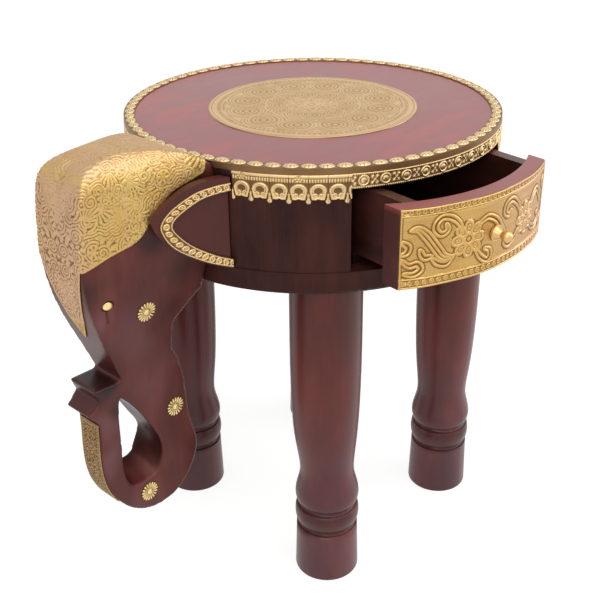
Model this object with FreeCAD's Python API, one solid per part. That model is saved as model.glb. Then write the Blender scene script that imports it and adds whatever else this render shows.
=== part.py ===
import FreeCAD, Part
import math
import os

# A round stool with a carved elephant's head, a drawer and brass trim. Lengths are in millimetres.
# The drum's axis is the Z axis while building, the elephant faces -Y, and the drawer slides
# along +X, turned a little towards the head. The finished part is moved so that the origin is
# on the floor, in the middle of its box.

# Whole stool
stool_height = 436.0
drum_radius = 177.0
brass_thickness = 0.8
overrun = 6.0
glue_gap = 0.1

# Top board, drum wall and base board
top_thickness = 18.0
wall_height = 74.0
wall_thickness = 20.0
wall_block_count = 6
base_thickness = 20.0
base_overhang = 1.0
base_edge_round = 3.0

# Legs
leg_inset = 39.5
# Hand-set legs: each foot's shift from an even square, measured in the photo
leg_shifts = {
    "front_left": (7.4, 1.9),
    "front_right": (-3.5, 7.5),
    "rear_left": (5.6, -2.3),
    "rear_right": (6.0, 5.5),
}
leg_top_radius = 32.0
leg_neck_radius = 26.2
leg_ring_radius = 31.3
leg_groove_radius = 26.8
foot_radius = 31.4
foot_top_radius = 30.0
foot_height = 54.5
foot_edge_round = 3.0
leg_groove_height = 6.0
leg_ring_height = 17.5
leg_shaft_shares = (
    (0.0, 0.62),
    (0.036, 0.82),
    (0.085, 0.42),
    (0.13, 0.02),
    (0.19, 0.04),
    (0.284, 0.42),
    (0.461, 0.84),
    (0.687, 1.0),
    (1.0, 1.0),
)

# Fixings
bolt_radius = 4.0
bolt_head_radius = 8.0
bolt_length = 85.0
dowel_radius = 4.0
dowel_length = 24.0
screw_radius = 2.5
screw_head_radius = 5.0
base_screw_length = 50.0
head_screw_length = 60.0
head_screw_spacing = 44.0
head_screw_rise = 15.0
head_screw_step = 44.0
top_dowel_share = 0.5
base_screw_share = 0.62

# Brass on the top
medallion_radius = 99.0
rim_band_width = 9.5
rim_band_drop = 4.5
rosette_count = 74
rosette_length = 13.2
rosette_width = 9.0
rosette_height = 1.8
rosette_inset = 4.7
rosette_dome_shares = ((0.0, 1.0), (0.7, 0.8), (1.0, 0.35))

# Brass round the edge
fringe_head_clear_degrees = 20.7
fringe_strip_height = 6.5
fringe_unit_degrees = 5.14
arch_radius = 7.6
arch_height = 14.0
arch_hollow_radius = 3.9
arch_foot_width = 9.5
drop_radius = 2.6
drop_reach = 4.8
edge_band_height = 13.2
edge_band_lip = 1.4
edge_band_relief = 0.7
edge_boss_radius = 4.4
edge_boss_degrees = 6.04

# Drawer, in its own frame: it slides along +X and the drum's axis is its origin when closed
drawer_turn_degrees = -7.0
drawer_open = 53.0
opening_half_width = 89.5
drawer_front_gap = 1.0
drawer_head_gap = 2.0
drawer_foot_gap = 3.0
drawer_front_thickness = 14.5
drawer_half_width = 76.0
drawer_side_thickness = 11.0
drawer_depth = 236.0
drawer_back_thickness = 11.0
drawer_back_drop = 5.0
drawer_bottom_thickness = 4.0
drawer_bottom_rise = 2.0
slide_gap = 0.3
runner_height = 9.7
runner_width = 14.0
guide_height = 26.0
guide_gap = 0.5
drawer_dowel_radius = 3.0
drawer_dowel_length = 18.0
drawer_dowel_shares = (0.25, 0.75)
drawer_nail_radius = 1.2
drawer_nail_length = 26.0
drawer_nail_shares = (0.3, 0.7)

# Knob
knob_rise = 33.0
knob_plate_radius = 7.2
knob_plate_thickness = 1.2
knob_collar_radius = 6.0
knob_neck_radius = 2.9
knob_ball_radius = 4.9
knob_length = 16.5
collar_share = 0.5
knob_screw_radius = 1.8
knob_screw_head_radius = 4.0
knob_screw_head_height = 2.0
knob_screw_bite = 9.0

# Head and trunk. The outline's shares run from the drum's face to the forehead, and from the
# underside of the trunk to where the head meets the top board; the crown is domed above that.
head_reach = 120.0
head_height = 328.0
crown_rise = 2.0
head_half_width = 50.0
head_facing_degrees = 270.0
crown_shares = (
    (-0.1, 0.985),
    (0.0, 1.0),
    (0.1, 1.021),
    (0.187, 1.033),
    (0.36, 1.046),
    (0.55, 1.052),
    (0.7, 1.049),
    (0.79, 1.043),
    (0.86, 1.033),
    (0.912, 1.015),
    (0.946, 0.985),
    (0.968, 0.945),
    (0.983, 0.888),
    (0.992, 0.802),
    (0.967, 0.716),
    (0.917, 0.643),
    (0.854, 0.579),
    (0.775, 0.506),
    (0.733, 0.466),
    (0.71, 0.448),
)
lip_shares = (
    (0.71, 0.448),
    (0.95, 0.451),
    (0.908, 0.412),
    (1.008, 0.381),
    (0.917, 0.345),
)
trunk_outer_shares = (
    (0.917, 0.345),
    (0.925, 0.286),
    (0.93, 0.221),
    (0.918, 0.163),
    (0.875, 0.11),
    (0.79, 0.056),
    (0.66, 0.01),
    (0.52, -0.012),
    (0.41, -0.015),
    (0.31, -0.006),
    (0.22, 0.012),
    (0.1, 0.062),
    (0.042, 0.128),
    (0.092, 0.216),
    (0.125, 0.326),
    (0.192, 0.436),
    (0.25, 0.479),
)
jaw_shares = ((0.25, 0.479), (0.242, 0.558), (0.088, 0.607), (-0.1, 0.663))
# The hole through the trunk's curl, on its left and right faces: its rear wall, floor and
# the tip's inner side. It was cut from the left, and its floor rises towards the right.
loop_half_width = 18.0
loop_left_shares = (
    ((0.742, 0.4), (0.586, 0.33), (0.465, 0.252), (0.392, 0.182), (0.402, 0.118), (0.45, 0.09)),
    ((0.45, 0.09), (0.55, 0.085), (0.66, 0.088), (0.705, 0.1)),
    ((0.705, 0.1), (0.742, 0.135), (0.75, 0.215), (0.752, 0.314), (0.742, 0.4)),
)
loop_right_shares = (
    ((0.742, 0.4), (0.586, 0.33), (0.48, 0.262), (0.424, 0.217), (0.46, 0.178), (0.505, 0.146)),
    ((0.505, 0.146), (0.56, 0.138), (0.66, 0.134), (0.705, 0.14)),
    ((0.705, 0.14), (0.742, 0.17), (0.75, 0.225), (0.752, 0.314), (0.742, 0.4)),
)
# Half widths of the head, as shares of its widest, at heights given as shares of its height
front_width_shares = (
    (-0.05, 0.31),
    (0.28, 0.31),
    (0.4, 0.345),
    (0.5, 0.4),
    (0.62, 0.48),
    (0.75, 0.53),
    (0.86, 0.53),
)
rear_width_shares = (
    (-0.05, 0.31),
    (0.28, 0.34),
    (0.4, 0.37),
    (0.5, 0.43),
    (0.62, 0.58),
    (0.75, 0.84),
    (0.86, 0.98),
)
front_section_share = 1.1
rear_section_share = -0.2
crown_top_share = 1.054
crown_round = 24.0

# Brass cover of the forehead: its lower edge on the cheek, and its point down the front
cover_edge_shares = (
    (1.2, 0.8),
    (0.98, 0.805),
    (0.78, 0.826),
    (0.57, 0.846),
    (0.45, 0.893),
    (0.3, 0.943),
    (0.1, 0.966),
    (0.01, 1.0),
    (0.01, 1.2),
    (1.2, 1.2),
)
cover_point_shares = (
    (0.0, 0.579),
    (0.2, 0.64),
    (0.36, 0.713),
    (0.52, 0.8),
    (0.52, 0.85),
    (-0.52, 0.85),
    (-0.52, 0.8),
    (-0.36, 0.713),
    (-0.2, 0.64),
)
cover_point_depth_share = 0.8
trunk_strip_half_width = 12.5
trunk_strip_shares = (
    (0.84, 0.338),
    (1.1, 0.338),
    (1.1, 0.01),
    (1.03, 0.024),
    (0.75, 0.083),
    (0.8, 0.15),
)

# Ears. Shares run forward from the rear edge, and up from the lowest corner.
ear_length = 72.0
ear_height = 89.0
ear_thickness = 8.0
ear_turn_degrees = 15.0
ear_rear_half_span = 62.0
ear_drum_gap = 2.0
ear_foot_rise = 18.0
ear_root_thickness = 28.0
ear_root_share = 0.7
ear_root_centre_shares = (0.42, 0.62)
ear_top_shares = (
    (-0.03, 0.94),
    (0.2, 0.95),
    (0.42, 0.935),
    (0.65, 0.87),
    (0.85, 0.775),
    (0.99, 0.695),
)
ear_lower_shares = (
    (0.99, 0.695),
    (0.95, 0.56),
    (0.8, 0.41),
    (0.6, 0.27),
    (0.3, 0.125),
    (-0.09, -0.01),
)
strip_outer_shares = (
    (-0.03, 0.89),
    (0.24, 0.885),
    (0.475, 0.855),
    (0.75, 0.75),
    (0.885, 0.633),
    (0.87, 0.53),
    (0.77, 0.4),
    (0.6, 0.285),
    (0.3, 0.14),
    (-0.09, 0.005),
)
strip_inner_shares = (
    (-0.085, 0.085),
    (0.243, 0.214),
    (0.515, 0.36),
    (0.7, 0.513),
    (0.745, 0.608),
    (0.65, 0.69),
    (0.4, 0.784),
    (0.2, 0.81),
    (-0.03, 0.815),
)
ear_strip_thickness = 1.5
ear_pocket_depth = 2.0
ear_dowel_radius = 3.0
ear_dowel_length = 22.0
ear_dowel_skin = 2.0
ear_dowel_shares = ((0.3, 0.45), (0.55, 0.62))

# Eyes and cheek rosettes, placed by the same shares as the head's outline
eye_shares = (0.817, 0.692)
eye_length = 11.0
eye_width = 8.0
eye_rise = 1.0
eye_tilt_degrees = 20.0
eye_dish_rim = 1.2
eye_dish_depth = 1.5
cheek_rosette_shares = ((0.5, 0.631), (0.242, 0.284), (0.55, 0.052))
cheek_rosette_radius = 10.0
cheek_rosette_height = 1.5
cheek_dome_radius = 4.2
cheek_dome_height = 1.2

# Brass tacks
tack_radius = 0.8
tack_head_radius = 1.6
tack_head_height = 0.6
tack_length = 9.0
tack_edge = 5.0
medallion_tack_count = 8

# Heights and radii that follow
top_floor = stool_height - top_thickness
trunk_clearance = stool_height + crown_rise - head_height
wall_floor = top_floor - wall_height
leg_height = wall_floor - base_thickness
wall_inner_radius = drum_radius - wall_thickness
leg_circle_radius = drum_radius - leg_inset
wall_middle_radius = drum_radius - wall_thickness / 2
base_radius = drum_radius + base_overhang
brass_radius = drum_radius + brass_thickness
opening_half_degrees = math.degrees(math.asin(opening_half_width / drum_radius))
opening_start_degrees = drawer_turn_degrees - opening_half_degrees
opening_end_degrees = drawer_turn_degrees + opening_half_degrees
strip_top = stool_height - rim_band_drop
runner_top = wall_floor + runner_height
drawer_floor = runner_top + slide_gap
drawer_front_floor = wall_floor + drawer_foot_gap
drawer_top = top_floor - drawer_head_gap
drawer_inner_radius = drum_radius - drawer_front_thickness
drawer_front_half_width = opening_half_width - drawer_front_gap
drawer_inner_half_width = drawer_half_width - drawer_side_thickness
drawer_rear = drawer_inner_radius - drawer_depth

up = FreeCAD.Vector(0, 0, 1)
along_x = FreeCAD.Vector(1, 0, 0)
along_y = FreeCAD.Vector(0, 1, 0)
origin = FreeCAD.Vector(0, 0, 0)


def point(x, y, z):
    return FreeCAD.Vector(x, y, z)


def cylinder(radius, height, base, axis=up):
    return Part.makeCylinder(radius, height, base, axis)


def ring(outer, inner, low, high):
    body = cylinder(outer, high - low, point(0, 0, low))
    return body.cut(cylinder(inner, high - low + 2 * overrun, point(0, 0, low - overrun)))


def box_between(low, high):
    return Part.makeBox(high.x - low.x, high.y - low.y, high.z - low.z, low)


def turned(shape, degrees):
    copy = shape.copy()
    copy.rotate(origin, up, degrees)
    return copy


def sector(outer, inner, low, high, start_degrees, end_degrees):
    pie = Part.makeCylinder(outer, high - low, point(0, 0, low), up, end_degrees - start_degrees)
    pie = pie.cut(cylinder(inner, high - low + 2 * overrun, point(0, 0, low - overrun)))
    return turned(pie, start_degrees)


def lathe(edges):
    face = Part.Face(Part.Wire(edges))
    return face.revolve(origin, up, 360)


def line(a, b):
    return Part.LineSegment(a, b).toShape()


def arc(a, b, c):
    return Part.Arc(a, b, c).toShape()


def spline(points):
    curve = Part.BSplineCurve()
    curve.interpolate(points)
    return curve.toShape()


def polygon_face(points):
    return Part.Face(Part.makePolygon(list(points) + [points[0]]))


def cut_all(shape, cutters):
    for cutter in cutters:
        shape = shape.cut(cutter)
    return shape


def countersunk(radius, head_radius, length, base, axis, gap=0.0):
    """A screw whose flat head lies at the base point and whose shank runs along the axis. With a
    gap it is the hole for that screw, open behind the head."""
    wide = head_radius + gap
    head = Part.makeCone(wide, radius + gap, head_radius - radius, base, axis)
    screw = head.fuse(cylinder(radius + gap, length + gap, base, axis))
    if gap:
        screw = screw.fuse(cylinder(wide, overrun, base, -axis))
    return screw.removeSplitter()


# Top, wall and base

def wall_block(index):
    step = (360 - 2 * opening_half_degrees) / wall_block_count
    start = opening_end_degrees + index * step
    block = sector(drum_radius, wall_inner_radius, wall_floor, top_floor, start, start + step)
    mouth = box_between(
        point(0, -opening_half_width, wall_floor - overrun),
        point(drum_radius + overrun, opening_half_width, top_floor + overrun),
    )
    block = block.cut(turned(mouth, drawer_turn_degrees))
    block = block.cut(top_dowel(index, glue_gap)).cut(base_screw(index, glue_gap))
    return cut_all(block, head_screws(glue_gap))


def ring_place(index, height, share):
    step = (360 - 2 * opening_half_degrees) / wall_block_count
    turn = math.radians(opening_end_degrees + (index + share) * step)
    return point(wall_middle_radius * math.cos(turn), wall_middle_radius * math.sin(turn), height)


def top_dowel(index, gap=0.0):
    low = top_floor - dowel_length / 2 - gap
    place = ring_place(index, low, top_dowel_share)
    return cylinder(dowel_radius + gap, dowel_length + 2 * gap, place)


def base_screw(index, gap=0.0):
    place = ring_place(index, leg_height, base_screw_share)
    return countersunk(screw_radius, screw_head_radius, base_screw_length, place, up, gap)


def top_board():
    board = cylinder(drum_radius, top_thickness, point(0, 0, top_floor))
    board = cut_all(board, [top_dowel(index, glue_gap) for index in range(wall_block_count)])
    return cut_all(board, medallion_tacks(glue_gap))


def leg_places():
    reach = leg_circle_radius / math.sqrt(2)
    corners = {
        "front_left": (reach, -reach),
        "front_right": (-reach, -reach),
        "rear_left": (reach, reach),
        "rear_right": (-reach, reach),
    }
    places = {}
    for name, (x, y) in corners.items():
        shift_x, shift_y = leg_shifts[name]
        places[name] = point(x + shift_x, y + shift_y, 0)
    return places


def leg_bolt(place, gap=0.0):
    head = point(place.x, place.y, wall_floor)
    return countersunk(bolt_radius, bolt_head_radius, bolt_length, head, -up, gap)


def base_board():
    low, high = leg_height, wall_floor
    inner = base_radius - base_edge_round
    middle = base_edge_round * (1 - math.sqrt(0.5))
    board = lathe([
        line(point(0, 0, low), point(inner, 0, low)),
        arc(
            point(inner, 0, low),
            point(base_radius - middle, 0, low + middle),
            point(base_radius, 0, low + base_edge_round),
        ),
        line(point(base_radius, 0, low + base_edge_round), point(base_radius, 0, high)),
        line(point(base_radius, 0, high), point(0, 0, high)),
        line(point(0, 0, high), point(0, 0, low)),
    ])
    holes = [leg_bolt(place, glue_gap) for place in leg_places().values()]
    holes += [base_screw(index, glue_gap) for index in range(wall_block_count)]
    return cut_all(board, holes)


# Legs

def leg(place):
    groove_floor = foot_height
    ring_floor = groove_floor + leg_groove_height
    ring_top = ring_floor + leg_ring_height
    shaft_floor = ring_top + leg_groove_height
    shaft_height = leg_height - shaft_floor
    swell = leg_top_radius - leg_neck_radius
    shaft = [
        point(leg_neck_radius + swell * out, 0, shaft_floor + shaft_height * rise)
        for rise, out in leg_shaft_shares
    ]
    sole = foot_radius - foot_edge_round
    corner = foot_edge_round * (1 - math.sqrt(0.5))
    body = lathe([
        line(point(0, 0, 0), point(sole, 0, 0)),
        arc(
            point(sole, 0, 0),
            point(foot_radius - corner, 0, corner),
            point(foot_radius, 0, foot_edge_round),
        ),
        line(point(foot_radius, 0, foot_edge_round), point(foot_top_radius, 0, groove_floor)),
        arc(
            point(foot_top_radius, 0, groove_floor),
            point(leg_groove_radius, 0, (groove_floor + ring_floor) / 2),
            point(foot_top_radius, 0, ring_floor),
        ),
        arc(
            point(foot_top_radius, 0, ring_floor),
            point(leg_ring_radius, 0, (ring_floor + ring_top) / 2),
            point(foot_top_radius, 0, ring_top),
        ),
        arc(
            point(foot_top_radius, 0, ring_top),
            point(leg_groove_radius, 0, (ring_top + shaft_floor) / 2),
            shaft[0],
        ),
        spline(shaft),
        line(shaft[-1], point(0, 0, leg_height)),
        line(point(0, 0, leg_height), point(0, 0, 0)),
    ])
    body.translate(place)
    return body.cut(leg_bolt(place, glue_gap))


# Brass on the top and round the edge

def top_medallion():
    return cylinder(medallion_radius, brass_thickness, point(0, 0, stool_height))


def rim_band():
    top = stool_height + brass_thickness
    inner = drum_radius - rim_band_width
    corners = [
        point(inner, 0, stool_height),
        point(drum_radius, 0, stool_height),
        point(drum_radius, 0, strip_top),
        point(brass_radius, 0, strip_top),
        point(brass_radius, 0, top),
        point(inner, 0, top),
    ]
    return polygon_face(corners).revolve(origin, up, 360)


def rim_rosette():
    """An oval dome on the band, as a stack of ovals that draw in."""
    floor = stool_height + brass_thickness
    wires = []
    for rise, size in rosette_dome_shares:
        centre = point(drum_radius - rosette_inset, 0, floor + rise * rosette_height)
        curve = Part.Ellipse(
            centre + along_y * (size * rosette_length / 2),
            centre - along_x * (size * rosette_width / 2),
            centre,
        )
        wires.append(Part.Wire(curve.toShape()))
    return Part.makeLoft(wires, True, True)


def rim_rosettes():
    dome = rim_rosette()
    step = 360 / rosette_count
    return Part.makeCompound([turned(dome, index * step) for index in range(rosette_count)])


def stamped(edges, low, high):
    """A flat outline on the plane X = 0, pressed out of the sheet that bends round the drum."""
    face = Part.Face(Part.Wire(edges))
    plate = face.extrude(point(2 * drum_radius, 0, 0))
    sheet = sector(
        brass_radius, drum_radius, low, high, -2 * fringe_unit_degrees, 2 * fringe_unit_degrees
    )
    return plate.common(sheet)


def fringe_arch():
    strip_floor = strip_top - fringe_strip_height
    high = strip_floor + brass_thickness
    middle = high - arch_radius
    low = strip_floor - arch_height
    foot = arch_foot_width / 2
    arch = stamped(
        [
            line(point(0, -foot, low), point(0, -arch_radius, middle)),
            arc(point(0, -arch_radius, middle), point(0, 0, high), point(0, arch_radius, middle)),
            line(point(0, arch_radius, middle), point(0, foot, low)),
            line(point(0, foot, low), point(0, -foot, low)),
        ],
        low - overrun,
        strip_top,
    )
    return arch.cut(cylinder(arch_hollow_radius, 2 * drum_radius, point(0, 0, middle), along_x))


def fringe_drop():
    strip_floor = strip_top - fringe_strip_height
    high = strip_floor + brass_thickness
    low = strip_floor - arch_height - drop_reach
    middle = low + drop_radius
    neck = drop_radius / 2
    drop = stamped(
        [
            line(point(0, -neck, high), point(0, -drop_radius, middle)),
            arc(point(0, -drop_radius, middle), point(0, 0, low), point(0, drop_radius, middle)),
            line(point(0, drop_radius, middle), point(0, neck, high)),
            line(point(0, neck, high), point(0, -neck, high)),
        ],
        low - overrun,
        strip_top,
    )
    return turned(drop, fringe_unit_degrees / 2)


def edge_fringe(start_degrees, end_degrees):
    """Arches and drops hang from one strip, and the last unit is cut off where the strip ends."""
    count = math.ceil((end_degrees - start_degrees) / fringe_unit_degrees)
    strip_floor = strip_top - fringe_strip_height
    strip = sector(brass_radius, drum_radius, strip_floor, strip_top, start_degrees, end_degrees)
    units = [
        turned(piece, start_degrees + (index + 0.5) * fringe_unit_degrees)
        for piece in (fringe_arch(), fringe_drop())
        for index in range(count)
    ]
    inside = sector(
        brass_radius + overrun, drum_radius - overrun, 0, stool_height, start_degrees, end_degrees
    )
    return strip.fuse(units).common(inside).removeSplitter()


def edge_band():
    start, end = opening_start_degrees, opening_end_degrees
    floor = strip_top - edge_band_height
    out = brass_radius + edge_band_relief
    strip = sector(brass_radius, drum_radius, floor, strip_top, start, end)
    low_lip = sector(out, drum_radius, floor, floor + edge_band_lip, start, end)
    high_lip = sector(out, drum_radius, strip_top - edge_band_lip, strip_top, start, end)
    count = round((end - start) / edge_boss_degrees)
    step = (end - start) / count
    middle = floor + edge_band_height / 2
    boss = cylinder(edge_boss_radius, 2 * drum_radius, point(0, 0, middle), along_x)
    reach = edge_boss_degrees
    boss = boss.common(sector(out, drum_radius, floor, strip_top, -reach, reach))
    bosses = [turned(boss, start + (index + 0.5) * step) for index in range(count)]
    return strip.fuse([low_lip, high_lip] + bosses).removeSplitter()


# Drawer

def into_drum(shape):
    """Moves a drawer piece from its own closed frame to where it is in the photographed pose."""
    moved = shape.copy()
    moved.translate(point(drawer_open, 0, 0))
    return turned(moved, drawer_turn_degrees)


def drawer_front():
    body = ring(drum_radius, drawer_inner_radius, drawer_front_floor, drawer_top)
    front = body.common(box_between(
        point(0, -drawer_front_half_width, 0),
        point(drum_radius + overrun, drawer_front_half_width, stool_height),
    ))
    pins = [knob_screw(glue_gap)] + drawer_dowels(glue_gap) + drawer_face_tacks(glue_gap)
    return cut_all(front, pins)


def drawer_face():
    body = ring(brass_radius, drum_radius, drawer_front_floor, drawer_top)
    face = body.common(box_between(
        point(0, -drawer_front_half_width, 0),
        point(drum_radius + overrun, drawer_front_half_width, stool_height),
    ))
    return cut_all(face, [knob_screw(glue_gap)] + drawer_face_tacks(glue_gap))


def drawer_side(hand):
    inner = hand * drawer_inner_half_width
    outer = hand * drawer_half_width
    board = box_between(
        point(drawer_rear, min(inner, outer), drawer_floor),
        point(drum_radius, max(inner, outer), drawer_top),
    )
    board = board.common(cylinder(drawer_inner_radius, stool_height, origin))
    return cut_all(board, drawer_dowels(glue_gap) + drawer_nails(glue_gap))


def drawer_bottom():
    low = drawer_floor + drawer_bottom_rise
    panel = box_between(
        point(drawer_rear, -drawer_inner_half_width, low),
        point(drum_radius, drawer_inner_half_width, low + drawer_bottom_thickness),
    )
    return panel.common(cylinder(drawer_inner_radius, stool_height, origin))


def drawer_back():
    low = drawer_floor + drawer_bottom_rise + drawer_bottom_thickness
    high = drawer_top - drawer_back_drop
    board = box_between(
        point(drawer_rear, -drawer_inner_half_width, low),
        point(drawer_rear + drawer_back_thickness, drawer_inner_half_width, high),
    )
    return cut_all(board, drawer_nails(glue_gap))


def drawer_dowels(gap=0.0):
    middle = drawer_half_width - drawer_side_thickness / 2
    joint = math.sqrt(drawer_inner_radius ** 2 - middle ** 2)
    height = drawer_top - drawer_floor
    start = joint - drawer_dowel_length / 2 - gap
    return [
        cylinder(
            drawer_dowel_radius + gap,
            drawer_dowel_length + 2 * gap,
            point(start, hand * middle, drawer_floor + height * share),
            along_x,
        )
        for hand in (-1, 1)
        for share in drawer_dowel_shares
    ]


def drawer_nails(gap=0.0):
    x = drawer_rear + drawer_back_thickness / 2
    height = drawer_top - drawer_floor
    return [
        cylinder(
            drawer_nail_radius + gap,
            drawer_nail_length + gap,
            point(x, hand * drawer_half_width, drawer_floor + height * share),
            -hand * along_y,
        )
        for hand in (-1, 1)
        for share in drawer_nail_shares
    ]


def drawer_runner(hand):
    middle = hand * (drawer_half_width - drawer_side_thickness / 2)
    front = math.sqrt(drawer_inner_radius ** 2 - (abs(middle) + runner_width / 2) ** 2) - slide_gap
    low = point(drawer_rear, middle - runner_width / 2, wall_floor)
    high = point(front, middle + runner_width / 2, runner_top)
    return turned(box_between(low, high), drawer_turn_degrees)


def drawer_guide(hand):
    """Stands beside the drawer, and its front end stops the drawer's front when it closes."""
    inner = drawer_half_width + guide_gap
    outer = drawer_front_half_width
    inner_edge = max(inner, drawer_half_width - drawer_side_thickness / 2 + runner_width / 2)
    front = math.sqrt(drawer_inner_radius ** 2 - outer ** 2) - slide_gap
    low = point(drawer_rear, min(hand * inner_edge, hand * outer), wall_floor)
    high = point(front, max(hand * inner_edge, hand * outer), wall_floor + guide_height)
    return turned(box_between(low, high), drawer_turn_degrees)


def knob_height():
    return drawer_front_floor + knob_rise


def on_face(shape):
    return shape.cut(cylinder(brass_radius, stool_height, origin))


def knob_plate():
    centre = point(drum_radius, 0, knob_height())
    plate = cylinder(knob_plate_radius, brass_thickness + knob_plate_thickness, centre, along_x)
    return on_face(plate).cut(knob_screw(glue_gap))


def knob():
    start = brass_radius + knob_plate_thickness
    centre = point(start, 0, knob_height())
    ball_reach = knob_length - knob_plate_thickness - knob_ball_radius
    collar = Part.makeCone(
        knob_collar_radius, knob_neck_radius, ball_reach * collar_share, centre, along_x
    )
    neck = cylinder(knob_neck_radius, ball_reach, centre, along_x)
    ball = Part.makeSphere(knob_ball_radius, centre + along_x * ball_reach)
    return collar.fuse([neck, ball]).removeSplitter().cut(knob_screw(glue_gap))


def knob_screw(gap=0.0):
    inside = drawer_inner_radius
    length = drawer_front_thickness + brass_thickness + knob_screw_bite
    height = knob_height()
    shank = cylinder(knob_screw_radius + gap, length + gap, point(inside, 0, height), along_x)
    head_start = point(inside - knob_screw_head_height, 0, height)
    head = cylinder(knob_screw_head_radius, knob_screw_head_height, head_start, along_x)
    return shank.fuse(head).removeSplitter()


# Head and trunk

def head_point(shares):
    out, rise = shares
    return point(0, -drum_radius - out * head_reach, trunk_clearance + rise * head_height)


def pushed_out(shares, amount):
    """The outline's points, each moved outwards, square to the line between its neighbours."""
    places = [head_point(pair) for pair in shares]
    moved = []
    for index, place in enumerate(places):
        before = places[max(index - 1, 0)]
        after = places[min(index + 1, len(places) - 1)]
        ahead = (after - before).normalize()
        moved.append(place + point(0, ahead.z, -ahead.y) * amount)
    return moved


def loop_outline(shares, x):
    rear, floor, tip = [[head_point(pair) for pair in run] for run in shares]
    edges = [spline(rear)] + [line(a, b) for a, b in zip(floor, floor[1:])] + [spline(tip)]
    outline = Part.Wire(edges)
    outline.translate(point(x, 0, 0))
    return outline


def trunk_loop():
    return Part.makeLoft([
        loop_outline(loop_left_shares, loop_half_width),
        loop_outline(loop_right_shares, -loop_half_width),
    ], True, True)


def head_side_face(amount):
    crown = pushed_out(crown_shares, amount)
    trunk = pushed_out(trunk_outer_shares, amount)
    lip = [head_point(pair) for pair in lip_shares]
    lip[0] = crown[-1]
    lip[-1] = trunk[0]
    jaw = [head_point(pair) for pair in jaw_shares]
    jaw[0] = trunk[-1]
    edges = [spline(crown)]
    edges += [line(a, b) for a, b in zip(lip, lip[1:])]
    edges += [spline(trunk)]
    edges += [line(a, b) for a, b in zip(jaw, jaw[1:])]
    edges += [line(jaw[-1], crown[0])]
    return Part.Face(Part.Wire(edges))


def head_section(shares, y, amount):
    """A cross-section of the head: a waisted outline with rounded upper corners."""
    places = [
        (out * head_half_width + amount, trunk_clearance + rise * head_height)
        for rise, out in shares
    ]
    side = spline([point(x, y, z) for x, z in places])
    other = spline([point(-x, y, z) for x, z in places])
    x, z = places[-1]
    low_x, low_z = places[0]
    top = trunk_clearance + crown_top_share * head_height + amount
    bend = crown_round * (1 - math.sqrt(0.5))
    shoulder = top - crown_round
    inner = x - crown_round
    return Part.Wire([
        side,
        line(point(x, y, z), point(x, y, shoulder)),
        arc(point(x, y, shoulder), point(x - bend, y, top - bend), point(inner, y, top)),
        line(point(inner, y, top), point(-inner, y, top)),
        arc(point(-inner, y, top), point(bend - x, y, top - bend), point(-x, y, shoulder)),
        line(point(-x, y, shoulder), point(-x, y, z)),
        other,
        line(point(-low_x, y, low_z), point(low_x, y, low_z)),
    ])


def head_body(amount=0.0):
    """The head and trunk as one block, or the same block with its skin moved outwards."""
    face = head_side_face(amount)
    face.translate(point(-2 * head_half_width, 0, 0))
    block = face.extrude(point(4 * head_half_width, 0, 0))
    front = head_section(front_width_shares, -drum_radius - front_section_share * head_reach, amount)
    rear = head_section(rear_width_shares, -drum_radius - rear_section_share * head_reach, amount)
    return block.common(Part.makeLoft([front, rear], True, True)).cut(trunk_loop())


def clear_of_drum(shape):
    shape = shape.cut(cylinder(base_radius, wall_floor, origin))
    shape = shape.cut(cylinder(drum_radius, stool_height, origin))
    return shape.cut(cylinder(brass_radius, overrun + rim_band_drop, point(0, 0, strip_top)))


def profile_prism(shares, half_width):
    """A side outline, given in the head's shares, made as wide as asked both ways."""
    face = polygon_face([head_point(pair) for pair in shares])
    face.translate(point(-half_width, 0, 0))
    return face.extrude(point(2 * half_width, 0, 0))


def head_screws(gap=0.0):
    screws = []
    for hand in (-1, 1):
        for step in (0, 1):
            x = hand * head_screw_spacing / 2
            z = wall_floor + head_screw_rise + step * head_screw_step
            y = -math.sqrt(wall_inner_radius ** 2 - (abs(x) - screw_head_radius) ** 2)
            screws.append(countersunk(
                screw_radius, screw_head_radius, head_screw_length, point(x, y, z), -along_y, gap
            ))
    return screws


def oval_prism(centre, length, width, tilt_degrees):
    """An oval bar along X, standing out of the left side of the head."""
    tilt = math.radians(tilt_degrees)
    long_way = point(0, math.cos(tilt), math.sin(tilt))
    curve = Part.Ellipse(
        centre + long_way * (length / 2),
        centre + point(0, -math.sin(tilt), math.cos(tilt)) * (width / 2),
        centre,
    )
    return Part.Face(Part.Wire(curve.toShape())).extrude(point(2 * head_half_width, 0, 0))


def eye_bar(rim=0.0):
    centre = head_point(eye_shares)
    return oval_prism(centre, eye_length + 2 * rim, eye_width + 2 * rim, eye_tilt_degrees)


def head_block(wood, sunk):
    block = clear_of_drum(wood)
    dish = eye_bar(eye_dish_rim).cut(sunk)
    for cutter in [dish, mirrored(dish)] + head_screws(glue_gap):
        block = block.cut(cutter)
    for dowel in ear_dowels(glue_gap):
        block = block.cut(dowel).cut(mirrored(dowel))
    return block


def eye(proud, sunk):
    return eye_bar().common(proud).cut(sunk)


def forehead_brass(wood, skin):
    over = profile_prism(cover_edge_shares, 2 * head_half_width)
    start = -drum_radius - cover_point_depth_share * head_reach
    shield = polygon_face([
        point(across * head_half_width, start, trunk_clearance + rise * head_height)
        for across, rise in cover_point_shares
    ]).extrude(point(0, -head_reach, 0))
    return skin.common(over.fuse(shield)).cut(wood).removeSplitter()


def trunk_strip(wood, skin):
    return skin.common(profile_prism(trunk_strip_shares, trunk_strip_half_width)).cut(wood)


def cheek_rosette(shares, wood, low_skin, high_skin):
    centre = head_point(shares)
    disc = cylinder(cheek_rosette_radius, 2 * head_half_width, centre, along_x)
    dome = cylinder(cheek_dome_radius, 2 * head_half_width, centre, along_x)
    return disc.common(low_skin).fuse(dome.common(high_skin)).cut(wood).removeSplitter()


def mirrored(shape):
    return shape.mirror(origin, along_x)


# Ears

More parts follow.
